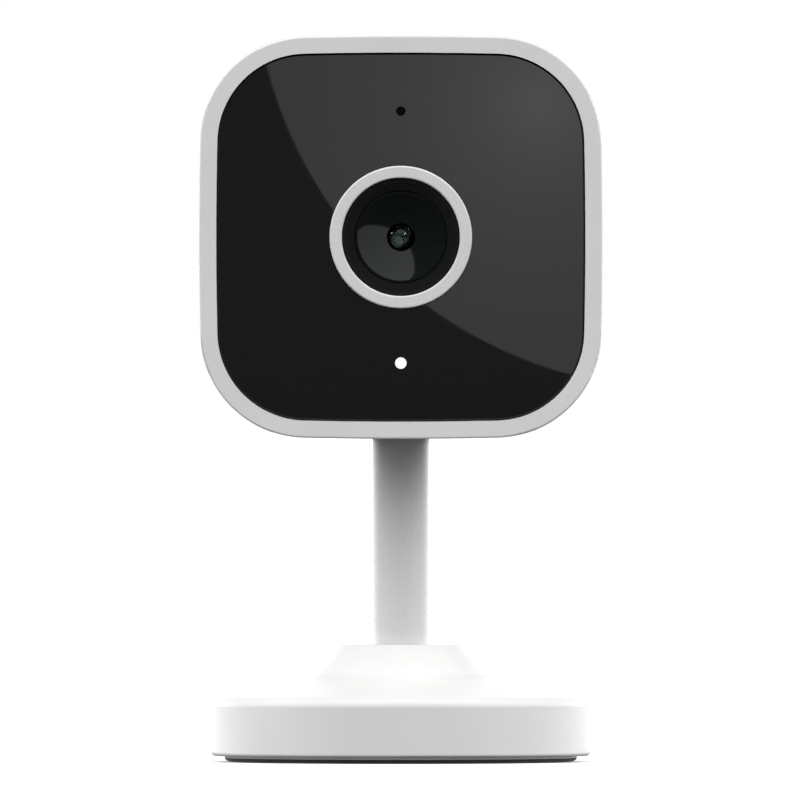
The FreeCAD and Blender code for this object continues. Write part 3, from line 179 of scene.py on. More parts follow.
def litPipe():
    # clear polycarbonate light pipe with the lamp on: white, a touch cooler and dimmer at its edge
    material, tree = newMaterial("litLightPipe")
    low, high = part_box("status_light_pipe")
    middle = (low + high) / 2
    place = addNode(tree, "ShaderNodeTexCoord").outputs["Object"]
    centred = addNode(tree, "ShaderNodeMapping", {"Vector": place, "Location": (-middle.x, 0, -middle.z)})
    flat = addNode(tree, "ShaderNodeVectorMath", {0: centred.outputs["Vector"], 1: (1, 0, 1)},
                   operation="MULTIPLY")
    reach = addNode(tree, "ShaderNodeVectorMath", {0: flat.outputs["Vector"]}, operation="LENGTH")
    share = addNode(tree, "ShaderNodeMath", {0: reach.outputs["Value"], 1: 0.85 * mm}, operation="DIVIDE")
    glow = addNode(tree, "ShaderNodeValToRGB", {"Fac": share.outputs["Value"]}, out="Color",
                   stops=[(0.0, "#FFFFFF"), (0.8, "#F4F8FA"), (1.0, "#B8C4C8")])
    shader = addNode(tree, "ShaderNodeBsdfPrincipled", {"Base Color": glow, "Roughness": 0.3, "IOR": 1.58,
                     "Emission Color": glow, "Emission Strength": 0.72})
    addNode(tree, "ShaderNodeOutputMaterial", {"Surface": shader.outputs["BSDF"]})
    return material


# finishes of metal and electronic pieces

def drawnMetal(name, dark, light, rough, grain, stretch=(1, 1, 1)):
    # rolled or drawn metal: fine streaks along the direction it was worked in
    material, tree = newMaterial(name)
    place = addNode(tree, "ShaderNodeTexCoord").outputs["Object"]
    along = addNode(tree, "ShaderNodeMapping", {"Vector": place, "Scale": stretch})
    streak = addNode(tree, "ShaderNodeTexNoise", {"Vector": along.outputs["Vector"],
                     "Scale": 1 / (grain * mm),
                     "Detail": 4.0, "Roughness": 0.6})
    colour = addNode(tree, "ShaderNodeValToRGB", {"Fac": streak.outputs["Fac"]}, out="Color",
                     stops=[(0.3, dark), (0.7, light)])
    gloss = addNode(tree, "ShaderNodeMapRange", {"Value": streak.outputs["Fac"], "From Min": 0.3,
                    "From Max": 0.7, "To Min": rough[0], "To Max": rough[1]})
    relief = addNode(tree, "ShaderNodeBump", {"Height": streak.outputs["Fac"], "Strength": 0.3,
                     "Distance": 0.01 * mm})
    shader = addNode(tree, "ShaderNodeBsdfPrincipled", {"Base Color": colour, "Metallic": 1.0,
                     "Roughness": gloss.outputs["Result"], "Normal": relief.outputs["Normal"]})
    addNode(tree, "ShaderNodeOutputMaterial", {"Surface": shader.outputs["BSDF"]})
    return material


def circuitLaminate():
    # glass-epoxy board under green solder mask: copper tracks 0.25 mm wide show as paler lines
    material, tree = newMaterial("circuitLaminate")
    place = addNode(tree, "ShaderNodeTexCoord").outputs["Object"]
    tracks = addNode(tree, "ShaderNodeTexBrick", {"Vector": place, "Scale": 1 / (3 * mm), "Mortar Size": 0.03,
                     "Color1": linear("#0E4A2E"), "Color2": linear("#0C3F28"), "Mortar": linear("#2C7A4E")})
    weave = addNode(tree, "ShaderNodeTexNoise", {"Vector": place, "Scale": 1 / (0.3 * mm), "Detail": 2.0})
    relief = addNode(tree, "ShaderNodeBump", {"Height": weave.outputs["Fac"], "Strength": 0.3,
                     "Distance": 0.01 * mm})
    shader = addNode(tree, "ShaderNodeBsdfPrincipled", {"Base Color": tracks.outputs["Color"],
                     "Roughness": 0.35,
                     "Normal": relief.outputs["Normal"], "IOR": 1.5})
    addNode(tree, "ShaderNodeOutputMaterial", {"Surface": shader.outputs["BSDF"]})
    return material


acrylic = acrylicWindow()
dish = dishLacquer()
finishes = {
    "white_abs": whiteShell, "white_post": shadedPostCoat, "black_acrylic": acrylic, "black_plastic": mattNylon,
    "black_rubber": footRubber, "lit_polycarbonate": litPipe(), "circuit_board": circuitLaminate(),
    # closed-cell foam: soft black with fine open pores
    "black_foam": grained("closedCellFoam", "#0C0C0D", "#161617", (0.85, 0.95), 0.25, 0.05),
    "optical_glass": coatedGlass("coatedCrownGlass", "#C2C8C5", "#C4DCD0", 1.0),
    # infrared-cut filter: clear, with the pink-green cast of its many layers
    "filter_glass": coatedGlass("infraredCutFilter", "#BFE6DA", "#D890A8", 0.85),
    # silicon under glass: dark violet with a soft sheen
    "sensor_ceramic": grained("sensorSilicon", "#1A1626", "#241E33", (0.15, 0.25), 0.1, 0.001),
    # moulded lamp resin: smoky, slightly glossy
    "lamp_resin": grained("lampResin", "#3A3236", "#4A4146", (0.2, 0.3), 0.4, 0.002, IOR=1.54),
    # tin-plated steel: pale grey, soft mirror with rolling streaks
    "tin_plate": drawnMetal("tinPlate", "#B9BBBC", "#CDCFCF", (0.28, 0.34), 0.6, (1, 0.15, 1)),
    # bright zinc-plated screws: bluish silver
    "zinc_steel": drawnMetal("zincPlatedSteel", "#AEB3B8", "#C4C9CE", (0.28, 0.42), 0.3),
    # epoxy chip case: charcoal and dull
    "chip_resin": grained("chipEpoxy", "#151617", "#1C1D1E", (0.5, 0.62), 0.15, 0.005),
    # filled silicone pad: pale blue-grey, chalky
    "grey_silicone": grained("thermalSilicone", "#8C949C", "#9AA2A9", (0.6, 0.75), 0.5, 0.02),
    "aluminium_sheet": drawnMetal("rolledAluminium", "#C5C7C9", "#D6D8D9", (0.3, 0.45), 0.3, (1, 1, 10)),
    # polyimide ribbon: amber film
    "ribbon_film": grained("polyimideRibbon", "#8A4A12", "#A35D1B", (0.25, 0.35), 0.8, 0.004, IOR=1.7),
    # acetal washers: waxy off-white
    "acetal": grained("acetalWasher", "#DEDCD4", "#E6E4DD", (0.35, 0.45), 0.6, 0.003, IOR=1.48),
    # die-cast zinc: dull grey with a cast skin
    "zinc_casting": grained("dieCastZinc", "#8C8F92", "#9DA0A3", (0.4, 0.55), 0.5, 0.01, Metallic=1.0),
    # turned steel weight: darker, lathe streaks
    "weight_steel": drawnMetal("turnedSteel", "#6D6F71", "#828486", (0.3, 0.45), 0.4, (1, 1, 6)),
    # blue-tempered spring washer
    "spring_steel": drawnMetal("springSteel", "#3C4250", "#565C69", (0.25, 0.35), 0.3),
}
ownFinish = {"lens_barrel": dish, "lens_hood": antiGlare, "lens_ring": polishedAbs,
             "setup_button": polishedAbs}
for name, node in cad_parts.items():
    for index, slot in enumerate(node.material_slots):
        slot.material = ownFinish.get(name) or finishes[slot.material.name.split(".")[0]]
print("finishes on", len(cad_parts), "pieces")


# Geometry Nodes: shared plumbing

def newTree(name, sizes):
    # a node group with a geometry input and one named input for each size
    tree = bpy.data.node_groups.new(name, "GeometryNodeTree")
    tree.interface.new_socket("Geometry", in_out="INPUT", socket_type="NodeSocketGeometry")
    for label, amount in sizes.items():
        kind = "NodeSocketInt" if isinstance(amount, int) else "NodeSocketFloat"
        tree.interface.new_socket(label, in_out="INPUT", socket_type=kind)
    tree.interface.new_socket("Finish", in_out="INPUT", socket_type="NodeSocketMaterial")
    tree.interface.new_socket("Geometry", in_out="OUTPUT", socket_type="NodeSocketGeometry")
    return tree, tree.nodes.new("NodeGroupInput").outputs


def closeTree(tree, geometry, inputs):
    solid = addNode(tree, "GeometryNodeRealizeInstances", {"Geometry": geometry})
    painted = addNode(tree, "GeometryNodeSetMaterial", {"Geometry": solid.outputs["Geometry"],
                      "Material": inputs["Finish"]})
    addNode(tree, "NodeGroupOutput", {"Geometry": painted.outputs["Geometry"]})


def grow(name, mesh, tree, sizes, finishMaterial, frameTo=None):
    # runs the tree on the mesh and keeps the result as a plain mesh; frameTo turns the result from
    # the flat plane it was drawn in to where it belongs
    drawn = bpy.data.objects.new(name + "Drawn", mesh)
    bpy.context.scene.collection.objects.link(drawn)
    modifier = drawn.modifiers.new("tree", "NODES")
    modifier.node_group = tree
    for item in tree.interface.items_tree:
        if item.in_out == "INPUT" and item.name in sizes:
            modifier[item.identifier] = sizes[item.name]
        elif item.in_out == "INPUT" and item.name == "Finish":
            modifier[item.identifier] = finishMaterial
    bpy.context.view_layer.update()
    graph = bpy.context.evaluated_depsgraph_get()
    result = bpy.data.meshes.new_from_object(drawn.evaluated_get(graph), depsgraph=graph)
    drawn.modifiers.remove(modifier)
    bpy.data.objects.remove(drawn)
    result.name = name
    if frameTo:
        for vertex in result.vertices:
            vertex.co = frameTo(vertex.co)
    edit = bmesh.new()
    edit.from_mesh(result)
    bmesh.ops.remove_doubles(edit, verts=edit.verts, dist=0.004 * mm)
    bmesh.ops.recalc_face_normals(edit, faces=edit.faces)
    edit.to_mesh(result)
    edit.free()
    piece = bpy.data.objects.new(name, result)
    bpy.context.scene.collection.objects.link(piece)
    print(name, len(result.polygons), "faces")
    return piece


def shadeSoftly(piece, angle=35):
    for polygon in piece.data.polygons:
        polygon.use_smooth = True
    piece.data.set_sharp_from_angle(angle=math.radians(angle))


# speaker grille: a plate with small round perforations in a honeycomb

grille = dict(pitch=1.3, hole=0.4, reach=7.3, rimInner=7.75, rimOuter=8.9, rimBevel=0.12, thick=0.8)


def grilleTree():
    tree, size = newTree("honeycombPlate", {"Pitch": 0.0, "Reach": 0.0, "Thick": 0.0, "Count": 1})
    side = addNode(tree, "ShaderNodeMath", {0: size["Pitch"], 1: size["Count"]}, out=0, operation="MULTIPLY")
    rowStep = addNode(tree, "ShaderNodeMath", {0: size["Pitch"], 1: math.sqrt(3) / 2}, out=0,
                      operation="MULTIPLY")
    tall = addNode(tree, "ShaderNodeMath", {0: rowStep, 1: size["Count"]}, out=0, operation="MULTIPLY")
    wide = addNode(tree, "ShaderNodeMath", {0: size["Count"], 1: 1}, out=0, operation="ADD")
    points = addNode(tree, "GeometryNodeMeshGrid", {"Size X": side, "Size Y": tall, "Vertices X": wide,
                     "Vertices Y": wide})
    spot = addNode(tree, "GeometryNodeInputPosition").outputs["Position"]
    parts = addNode(tree, "ShaderNodeSeparateXYZ", {"Vector": spot})
    rowsUp = addNode(tree, "ShaderNodeMath", {0: parts.outputs["Y"], 1: rowStep}, out=0, operation="DIVIDE")
    row = addNode(tree, "ShaderNodeMath", {0: rowsUp}, out=0, operation="ROUND")
    parity = addNode(tree, "ShaderNodeMath", {0: row, 1: 2}, out=0, operation="MODULO")
    oddRow = addNode(tree, "ShaderNodeMath", {0: parity}, out=0, operation="ABSOLUTE")
    halfPitch = addNode(tree, "ShaderNodeMath", {0: size["Pitch"], 1: 0.5}, out=0, operation="MULTIPLY")
    shift = addNode(tree, "ShaderNodeMath", {0: oddRow, 1: halfPitch}, out=0, operation="MULTIPLY")
    offset = addNode(tree, "ShaderNodeCombineXYZ", {"X": shift})
    moved = addNode(tree, "GeometryNodeSetPosition", {"Geometry": points.outputs["Mesh"],
                    "Offset": offset.outputs["Vector"]})
    far = addNode(tree, "ShaderNodeVectorMath", {0: spot}, operation="LENGTH")
    outside = addNode(tree, "FunctionNodeCompare", {"A": far.outputs["Value"], "B": size["Reach"]},
                      data_type="FLOAT", operation="GREATER_THAN")
    kept = addNode(tree, "GeometryNodeDeleteGeometry", {"Geometry": moved.outputs["Geometry"],
                   "Selection": outside.outputs["Result"]})
    tiles = addNode(tree, "GeometryNodeInstanceOnPoints", {"Points": kept.outputs["Geometry"],
                    "Instance": size["Geometry"]})
    sheet = addNode(tree, "GeometryNodeRealizeInstances", {"Geometry": tiles.outputs["Instances"]})
    welded = addNode(tree, "GeometryNodeMergeByDistance", {"Geometry": sheet.outputs["Geometry"],
                     "Distance": 0.01 * mm})
    raised = addNode(tree, "GeometryNodeExtrudeMesh", {"Mesh": welded.outputs["Geometry"],
                     "Offset Scale": size["Thick"], "Individual": False})
    under = addNode(tree, "GeometryNodeFlipFaces", {"Mesh": welded.outputs["Geometry"]})
    both = addNode(tree, "GeometryNodeJoinGeometry")
    tree.links.new(under.outputs["Mesh"], both.inputs["Geometry"])
    tree.links.new(raised.outputs["Mesh"], both.inputs["Geometry"])
    plate = addNode(tree, "GeometryNodeMergeByDistance", {"Geometry": both.outputs["Geometry"],
                    "Distance": 0.01 * mm})
    closeTree(tree, plate.outputs["Geometry"], size)
    return tree


def honeycombTile(pitch, hole):
    # a flat six-sided tile with a round hole in it
    edit = bmesh.new()
    apothem = pitch / 2
    inner, outer = [], []
    for step in range(12):
        angle = math.radians(30 * step)
        reach = apothem if step % 2 == 0 else apothem / math.cos(math.radians(30))
        inner.append(edit.verts.new((hole * math.cos(angle), hole * math.sin(angle), 0)))
        outer.append(edit.verts.new((reach * math.cos(angle), reach * math.sin(angle), 0)))
    for step in range(12):
        after = (step + 1) % 12
        edit.faces.new((inner[step], outer[step], outer[after], inner[after]))
    mesh = bpy.data.meshes.new("honeycombTile")
    edit.to_mesh(mesh)
    edit.free()
    return mesh


def turnedRing(name, outline, centre, steps=128, upright=False):
    # a closed ring turned about an axis along Y, or Z when upright, through the centre; the
    # outline is (radius, along the axis)
    edit = bmesh.new()
    loops = []
    for step in range(steps):
        angle = 2 * math.pi * step / steps
        loop = []
        for radius, along in outline:
            across, aside = radius * math.cos(angle), radius * math.sin(angle)
            spot = Vector((across, aside, along)) if upright else Vector((across, along, aside))
            loop.append(edit.verts.new(Vector(centre) + spot))
        loops.append(loop)
    for step in range(steps):
        here, after = loops[step], loops[(step + 1) % steps]
        for index in range(len(outline)):
            nextIndex = (index + 1) % len(outline)
            edit.faces.new((here[index], here[nextIndex], after[nextIndex], after[index]))
    bmesh.ops.recalc_face_normals(edit, faces=edit.faces)
    mesh = bpy.data.meshes.new(name)
    edit.to_mesh(mesh)
    edit.free()
    piece = bpy.data.objects.new(name, mesh)
    bpy.context.scene.collection.objects.link(piece)
    return piece


def joinPieces(name, pieces):
    with bpy.context.temp_override(active_object=pieces[0], selected_editable_objects=pieces):
        bpy.ops.object.join()
    pieces[0].name = name
    return pieces[0]


low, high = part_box("speaker_grille")
grilleMiddle = (low + high) / 2
face = high.y
plate = grow("grillePlate", honeycombTile(grille["pitch"] * mm, grille["hole"] * mm), grilleTree(),
             {"Pitch": grille["pitch"] * mm, "Reach": grille["reach"] * mm, "Thick": grille["thick"] * mm,
              "Count": 14}, whiteShell,
             lambda p: Vector((grilleMiddle.x - p.x, face - grille["thick"] * mm + p.z,
                              grilleMiddle.z + p.y)))
flangeRadius = (high.x - low.x) / 2
rimBack = low.y
inner, seen, bevel = (grille[key] * mm for key in ("rimInner", "rimOuter", "rimBevel"))
step = face - grille["thick"] * mm
rimOutline = [(inner, step - 0.3 * mm), (inner, face - 0.1 * mm), (inner + 0.16 * mm, face),
              (seen - bevel, face), (seen, face - bevel), (seen, step), (flangeRadius, step),
              (flangeRadius, rimBack), (inner, rimBack)]
rim = turnedRing("grilleRim", rimOutline, (grilleMiddle.x, 0, grilleMiddle.z))
rim.data.materials.append(whiteShell)
shadeSoftly(rim)
shadeSoftly(plate)
speakerGrille = joinPieces("speakerGrillePlate", [rim, plate])
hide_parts("speaker_grille")
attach(speakerGrille, "head")


# microphone: a black nylon dust screen behind its hole in the window

screen = dict(pitch=0.2, hole=0.07, reach=0.52, thick=0.08, behind=0.5, rimInner=0.5, rimOuter=0.685)
nylonScreen = grained("nylonDustScreen", "#050505", "#090909", (0.7, 0.85), 0.1, 0.005,
                      **{"Specular IOR Level": 0.1})
low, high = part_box("microphone_boot")
holeMiddle = (low + high) / 2
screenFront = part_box("front_window")[0].y + screen["behind"] * mm
dustScreen = grow("microphoneScreen", honeycombTile(screen["pitch"] * mm, screen["hole"] * mm), grilleTree(),
                  {"Pitch": screen["pitch"] * mm, "Reach": screen["reach"] * mm,
                   "Thick": screen["thick"] * mm,
                   "Count": 8}, nylonScreen,
                  lambda p: Vector((holeMiddle.x + p.x, screenFront - p.z, holeMiddle.z + p.y)))
rimFront, rimEnd = screenFront - 0.12 * mm, screenFront + 0.3 * mm
inner, outer = screen["rimInner"] * mm, screen["rimOuter"] * mm
screenRim = turnedRing("microphoneScreenRim", [(inner, rimFront), (inner, rimEnd), (outer, rimEnd),
                       (outer, rimFront)], (holeMiddle.x, 0, holeMiddle.z), steps=48)
screenRim.data.materials.append(nylonScreen)
dustScreen = joinPieces("microphoneScreen", [screenRim, dustScreen])
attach(dustScreen, "head")


# foot: a rubber pad with a lip that rolls under, and studs inside it

foot = dict(lip=0.3, tread=1.3, recess=0.3, studPitch=2.4, stud=0.75, studReach=19.5, margin=1.9)


def studTree():
    tree, size = newTree("footStuds", {"Pitch": 0.0, "Reach": 0.0, "Count": 1})
    side = addNode(tree, "ShaderNodeMath", {0: size["Pitch"], 1: size["Count"]}, out=0, operation="MULTIPLY")
    wide = addNode(tree, "ShaderNodeMath", {0: size["Count"], 1: 1}, out=0, operation="ADD")
    points = addNode(tree, "GeometryNodeMeshGrid", {"Size X": side, "Size Y": side, "Vertices X": wide,
                     "Vertices Y": wide})
    spot = addNode(tree, "GeometryNodeInputPosition").outputs["Position"]
    far = addNode(tree, "ShaderNodeVectorMath", {0: spot}, operation="LENGTH")
    outside = addNode(tree, "FunctionNodeCompare", {"A": far.outputs["Value"], "B": size["Reach"]},
                      data_type="FLOAT", operation="GREATER_THAN")
    kept = addNode(tree, "GeometryNodeDeleteGeometry", {"Geometry": points.outputs["Mesh"],
                   "Selection": outside.outputs["Result"]})
    studs = addNode(tree, "GeometryNodeInstanceOnPoints", {"Points": kept.outputs["Geometry"],
                    "Instance": size["Geometry"]})
    closeTree(tree, studs.outputs["Instances"], size)
    return tree


def studShape(radius, height):
    # a low eight-sided stud whose foot is narrower than its top
    edit = bmesh.new()
    bmesh.ops.create_cone(edit, cap_ends=True, segments=10, radius1=radius * 0.8, radius2=radius,
                          depth=height)
    mesh = bpy.data.meshes.new("footStud")
    edit.to_mesh(mesh)
    edit.free()
    return mesh


low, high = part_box("foot_pad")
edge, top = high.x, high.z
treadOuter = edge - foot["tread"] * mm
roll = [(edge - (edge - treadOuter) * (1 - math.cos(math.radians(a))),
         (top - foot["lip"] * mm) * (1 - math.sin(math.radians(a)))) for a in range(0, 91, 15)]
outline = [(0.2 * mm, top), (edge - 0.08 * mm, top), (edge, top - 0.08 * mm)] + roll + [
    (treadOuter - foot["margin"] * mm, 0), (treadOuter - foot["margin"] * mm - 0.2 * mm, foot["recess"] * mm),
    (0.2 * mm, foot["recess"] * mm)]
padRing = turnedRing("footRing", outline, (0, 0, 0), steps=192, upright=True)
padRing.data.materials.append(footRubber)
padRing.data.materials.append(treadRubberPaintedShade)
# faces below the lip take the near-black rubber: painted shade for the foot's contact shadow on the floor
for polygon in padRing.data.polygons:
    polygon.material_index = int(polygon.center.z < top - foot["lip"] * mm)
studs = grow("footStuds", studShape(foot["stud"] * mm, foot["recess"] * mm + 0.1 * mm), studTree(),
             {"Pitch": foot["studPitch"] * mm, "Reach": foot["studReach"] * mm, "Count": 18}, treadRubberPaintedShade,
             lambda p: p + Vector((0, 0, (foot["recess"] * mm + 0.1 * mm) / 2)))
shadeSoftly(padRing)
footPad = joinPieces("rubberFoot", [padRing, studs])
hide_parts("foot_pad")
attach(footPad, "base")


# hood: fine steps on the cone between ring and lens, that catch stray light

hood = dict(steps=5, wire=0.075, firstRadius=7.9, lastRadius=6.95)


def ridgeTree():
    tree, size = newTree("hoodRidges", {"Steps": 1, "First": 0.0, "Last": 0.0, "Rise": 0.0, "Wire": 0.0})
    line = addNode(tree, "GeometryNodeMeshLine", {"Count": size["Steps"], "Offset": (0, 0, 0)})
    index = addNode(tree, "GeometryNodeInputIndex").outputs["Index"]
    gaps = addNode(tree, "ShaderNodeMath", {0: size["Steps"], 1: 1}, out=0, operation="SUBTRACT")
    share = addNode(tree, "ShaderNodeMath", {0: index, 1: gaps}, out=0, operation="DIVIDE")
    span = addNode(tree, "ShaderNodeMath", {0: size["Last"], 1: size["First"]}, out=0, operation="SUBTRACT")
    radius = addNode(tree, "ShaderNodeMath", {0: share, 1: span, 2: size["First"]}, out=0,
                     operation="MULTIPLY_ADD")
    rise = addNode(tree, "ShaderNodeMath", {0: share, 1: size["Rise"]}, out=0, operation="MULTIPLY")
    offset = addNode(tree, "ShaderNodeCombineXYZ", {"Z": rise})
    spots = addNode(tree, "GeometryNodeSetPosition", {"Geometry": line.outputs["Mesh"],
                    "Offset": offset.outputs["Vector"]})
    hoop = addNode(tree, "GeometryNodeCurvePrimitiveCircle", {"Resolution": 96, "Radius": 1.0}, mode="RADIUS")
    scale = addNode(tree, "ShaderNodeCombineXYZ", {"X": radius, "Y": radius, "Z": 1.0})
    hoops = addNode(tree, "GeometryNodeInstanceOnPoints", {"Points": spots.outputs["Geometry"],
                    "Instance": hoop.outputs["Curve"], "Scale": scale.outputs["Vector"]})
    curves = addNode(tree, "GeometryNodeRealizeInstances", {"Geometry": hoops.outputs["Instances"]})
    wire = addNode(tree, "GeometryNodeCurvePrimitiveCircle", {"Resolution": 8, "Radius": size["Wire"]},
                   mode="RADIUS")
    tubes = addNode(tree, "GeometryNodeCurveToMesh", {"Curve": curves.outputs["Geometry"],
                    "Profile Curve": wire.outputs["Curve"]})
    closeTree(tree, tubes.outputs["Mesh"], size)
    return tree


low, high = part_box("lens_hood")
axisZ = (low.z + high.z) / 2
hoodFront = low.y
ridges = grow("hoodRidges", bpy.data.meshes.new("empty"), ridgeTree(),
              {"Steps": hood["steps"], "First": hood["firstRadius"] * mm, "Last": hood["lastRadius"] * mm,
               "Rise": 0.4 * mm, "Wire": hood["wire"] * mm}, antiGlare,
              lambda p: Vector((p.x, hoodFront + 0.1 * mm + p.z, axisZ + p.y)))
shadeSoftly(ridges, 60)
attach(ridges, "head")


# power socket: gold contacts for its blade; the case is closed, so they do not show

socket = dict(contacts=12, pitch=0.5, wide=0.28, long=3.6, thick=0.06, blade=0.7, bladeSet=0.9)


def contactTree():
    tree, size = newTree("socketContacts", {"Count": 1, "Pitch": 0.0, "Wide": 0.0, "Long": 0.0, "Thick": 0.0,
                         "Blade": 0.0})
    gaps = addNode(tree, "ShaderNodeMath", {0: size["Count"], 1: 1}, out=0, operation="SUBTRACT")
    rowLength = addNode(tree, "ShaderNodeMath", {0: gaps, 1: size["Pitch"]}, out=0, operation="MULTIPLY")
    start = addNode(tree, "ShaderNodeMath", {0: rowLength, 1: -0.5}, out=0, operation="MULTIPLY")
    pads = []
    for side in (-1, 1):
        up = addNode(tree, "ShaderNodeMath", {0: size["Blade"], 1: 0.5 * side}, out=0, operation="MULTIPLY")
        first = addNode(tree, "ShaderNodeCombineXYZ", {"X": start, "Z": up})
        step = addNode(tree, "ShaderNodeCombineXYZ", {"X": size["Pitch"]})
        line = addNode(tree, "GeometryNodeMeshLine", {"Count": size["Count"],
                       "Start Location": first.outputs["Vector"],
                       "Offset": step.outputs["Vector"]})
        box = addNode(tree, "ShaderNodeCombineXYZ", {"X": size["Wide"], "Y": size["Long"],
                      "Z": size["Thick"]})
        pad = addNode(tree, "GeometryNodeMeshCube", {"Size": box.outputs["Vector"]})
        pads.append(addNode(tree, "GeometryNodeInstanceOnPoints", {"Points": line.outputs["Mesh"],
                    "Instance": pad.outputs["Mesh"]}).outputs["Instances"])
    both = addNode(tree, "GeometryNodeJoinGeometry")
    for row in pads:
        tree.links.new(row, both.inputs["Geometry"])
    closeTree(tree, both.outputs["Geometry"], size)
    return tree


# gold over nickel: warm yellow, wiped bright where plugs slide
goldPlate = drawnMetal("goldPlate", "#C79A3E", "#DDB252", (0.18, 0.3), 0.2, (8, 1, 1))
low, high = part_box("power_socket")
mouth, socketUp = high.y, (low.z + high.z) / 2
contactMiddle = mouth - (socket["bladeSet"] + 0.35 + socket["long"] / 2) * mm
contacts = grow("socketContacts", bpy.data.meshes.new("empty"), contactTree(),
                {"Count": socket["contacts"], "Pitch": socket["pitch"] * mm, "Wide": socket["wide"] * mm,
                 "Long": socket["long"] * mm, "Thick": socket["thick"] * mm, "Blade": socket["blade"] * mm},
                goldPlate, lambda p: Vector((p.x, contactMiddle + p.y, socketUp + p.z)))
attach(contacts, "head")


# studio: floor, surroundings, lights and camera

# brightness of the white tent round the object: below the horizon, then from the horizon to
# straight above in five steps
tent = dict(front=(0.0, 0.24, 0.46, 2.15, 2.2, 1.3), sides=(0.0, 0.3, 3.0, 3.15, 1.55, 0.3),
            behind=(0.0, 6.0, 2.2, 0.1, 0.0, 0.0))

# round diffusers that only glossy pieces mirror; sizes in mm from the lens axis
card = dict(distance=135, across=42, up=42, radius=64, peak=1.9, fall=0.9, hotSpot=21, spread=17)
footGlow = dict(inner=28, outer=60, glow=1.7)
lensCard = dict(ahead=2.0, radius=8.8, across=-2.1, up=-2.2, patch=3.15, blur=0.15, glow=0.7, lean=0.05,
                glints=((1.8, 1.6, 0.5), (4.5, 5.1, 0.7), (-4.6, 2.2, 0.5)), glintGlow=14.0)


def paperFloor():
    # matt paper sweep with a faint tooth
    material, tree = newMaterial("paperFloor")
    place = addNode(tree, "ShaderNodeTexCoord").outputs["Object"]
    tooth = addNode(tree, "ShaderNodeTexNoise", {"Vector": place, "Scale": 1 / (2 * mm), "Detail": 2.0})
    colour = addNode(tree, "ShaderNodeValToRGB", {"Fac": tooth.outputs["Fac"]}, out="Color",
                     stops=[(0.3, "#F6F6F6"), (0.7, "#FAFAFA")])
    shader = addNode(tree, "ShaderNodeBsdfPrincipled", {"Base Color": colour, "Roughness": 0.9,
                     "Emission Color": linear("#FFFFFF"), "Emission Strength": 0.25, "Specular IOR Level": 0.0})
    addNode(tree, "ShaderNodeOutputMaterial", {"Surface": shader.outputs["BSDF"]})
    return material


def flatPiece(name, corners, material):
    mesh = bpy.data.meshes.new(name)
    mesh.from_pydata(corners, [], [list(range(len(corners)))])
    mesh.materials.append(material)
    piece = bpy.data.objects.new(name, mesh)
    bpy.context.scene.collection.objects.link(piece)
    return piece


floor = flatPiece("paperFloor", [(-40, -40, 0), (40, -40, 0), (40, 40, 0), (-40, 40, 0)], paperFloor())
floor.visible_diffuse = floor.visible_glossy = False


def glowCard(name, peak, fall):
    # a round diffuser lit from behind: brightest near its middle, softer towards the edge
    hotSpot = card["hotSpot"] * mm
    material, tree = newMaterial(name)
    place = addNode(tree, "ShaderNodeTexCoord").outputs["Object"]
    centred = addNode(tree, "ShaderNodeMapping", {"Vector": place, "Location": (-hotSpot, 0, -axisZ - hotSpot)})
    flat = addNode(tree, "ShaderNodeVectorMath", {0: centred.outputs["Vector"], 1: (1, 0, 1)},
                   operation="MULTIPLY")
    reach = addNode(tree, "ShaderNodeVectorMath", {0: flat.outputs["Vector"]}, operation="LENGTH")
    spread = addNode(tree, "ShaderNodeMath", {0: reach.outputs["Value"], 1: -card["spread"] * mm}, out=0,
                     operation="DIVIDE")
    fade = addNode(tree, "ShaderNodeMath", {0: spread}, out=0, operation="EXPONENT")
    bright = addNode(tree, "ShaderNodeMath", {0: fade, 1: peak - fall, 2: fall}, out=0,
                     operation="MULTIPLY_ADD")
    glow = addNode(tree, "ShaderNodeEmission", {"Color": linear("#FFFFFF"), "Strength": bright})
    addNode(tree, "ShaderNodeOutputMaterial", {"Surface": glow.outputs["Emission"]})
    return material


def roundDiffuser(name, radius, across, up, distance, glowMaterial, receivers):
    # a round card in front of the lens axis that only the named pieces mirror
    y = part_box("front_frame")[0].y - distance * mm
    turn = [2 * math.pi * i / 256 for i in range(256)]
    edge = [((across + radius * math.cos(t)) * mm, y, axisZ + (up + radius * math.sin(t)) * mm) for t in turn]
    disc = flatPiece(name, edge, glowMaterial)
    disc.visible_camera = disc.visible_diffuse = disc.visible_shadow = disc.visible_transmission = False
    mirrors = bpy.data.collections.new(name + "Mirrors")
    for receiver in receivers:
        mirrors.objects.link(receiver)
    disc.light_linking.receiver_collection = mirrors
    return disc


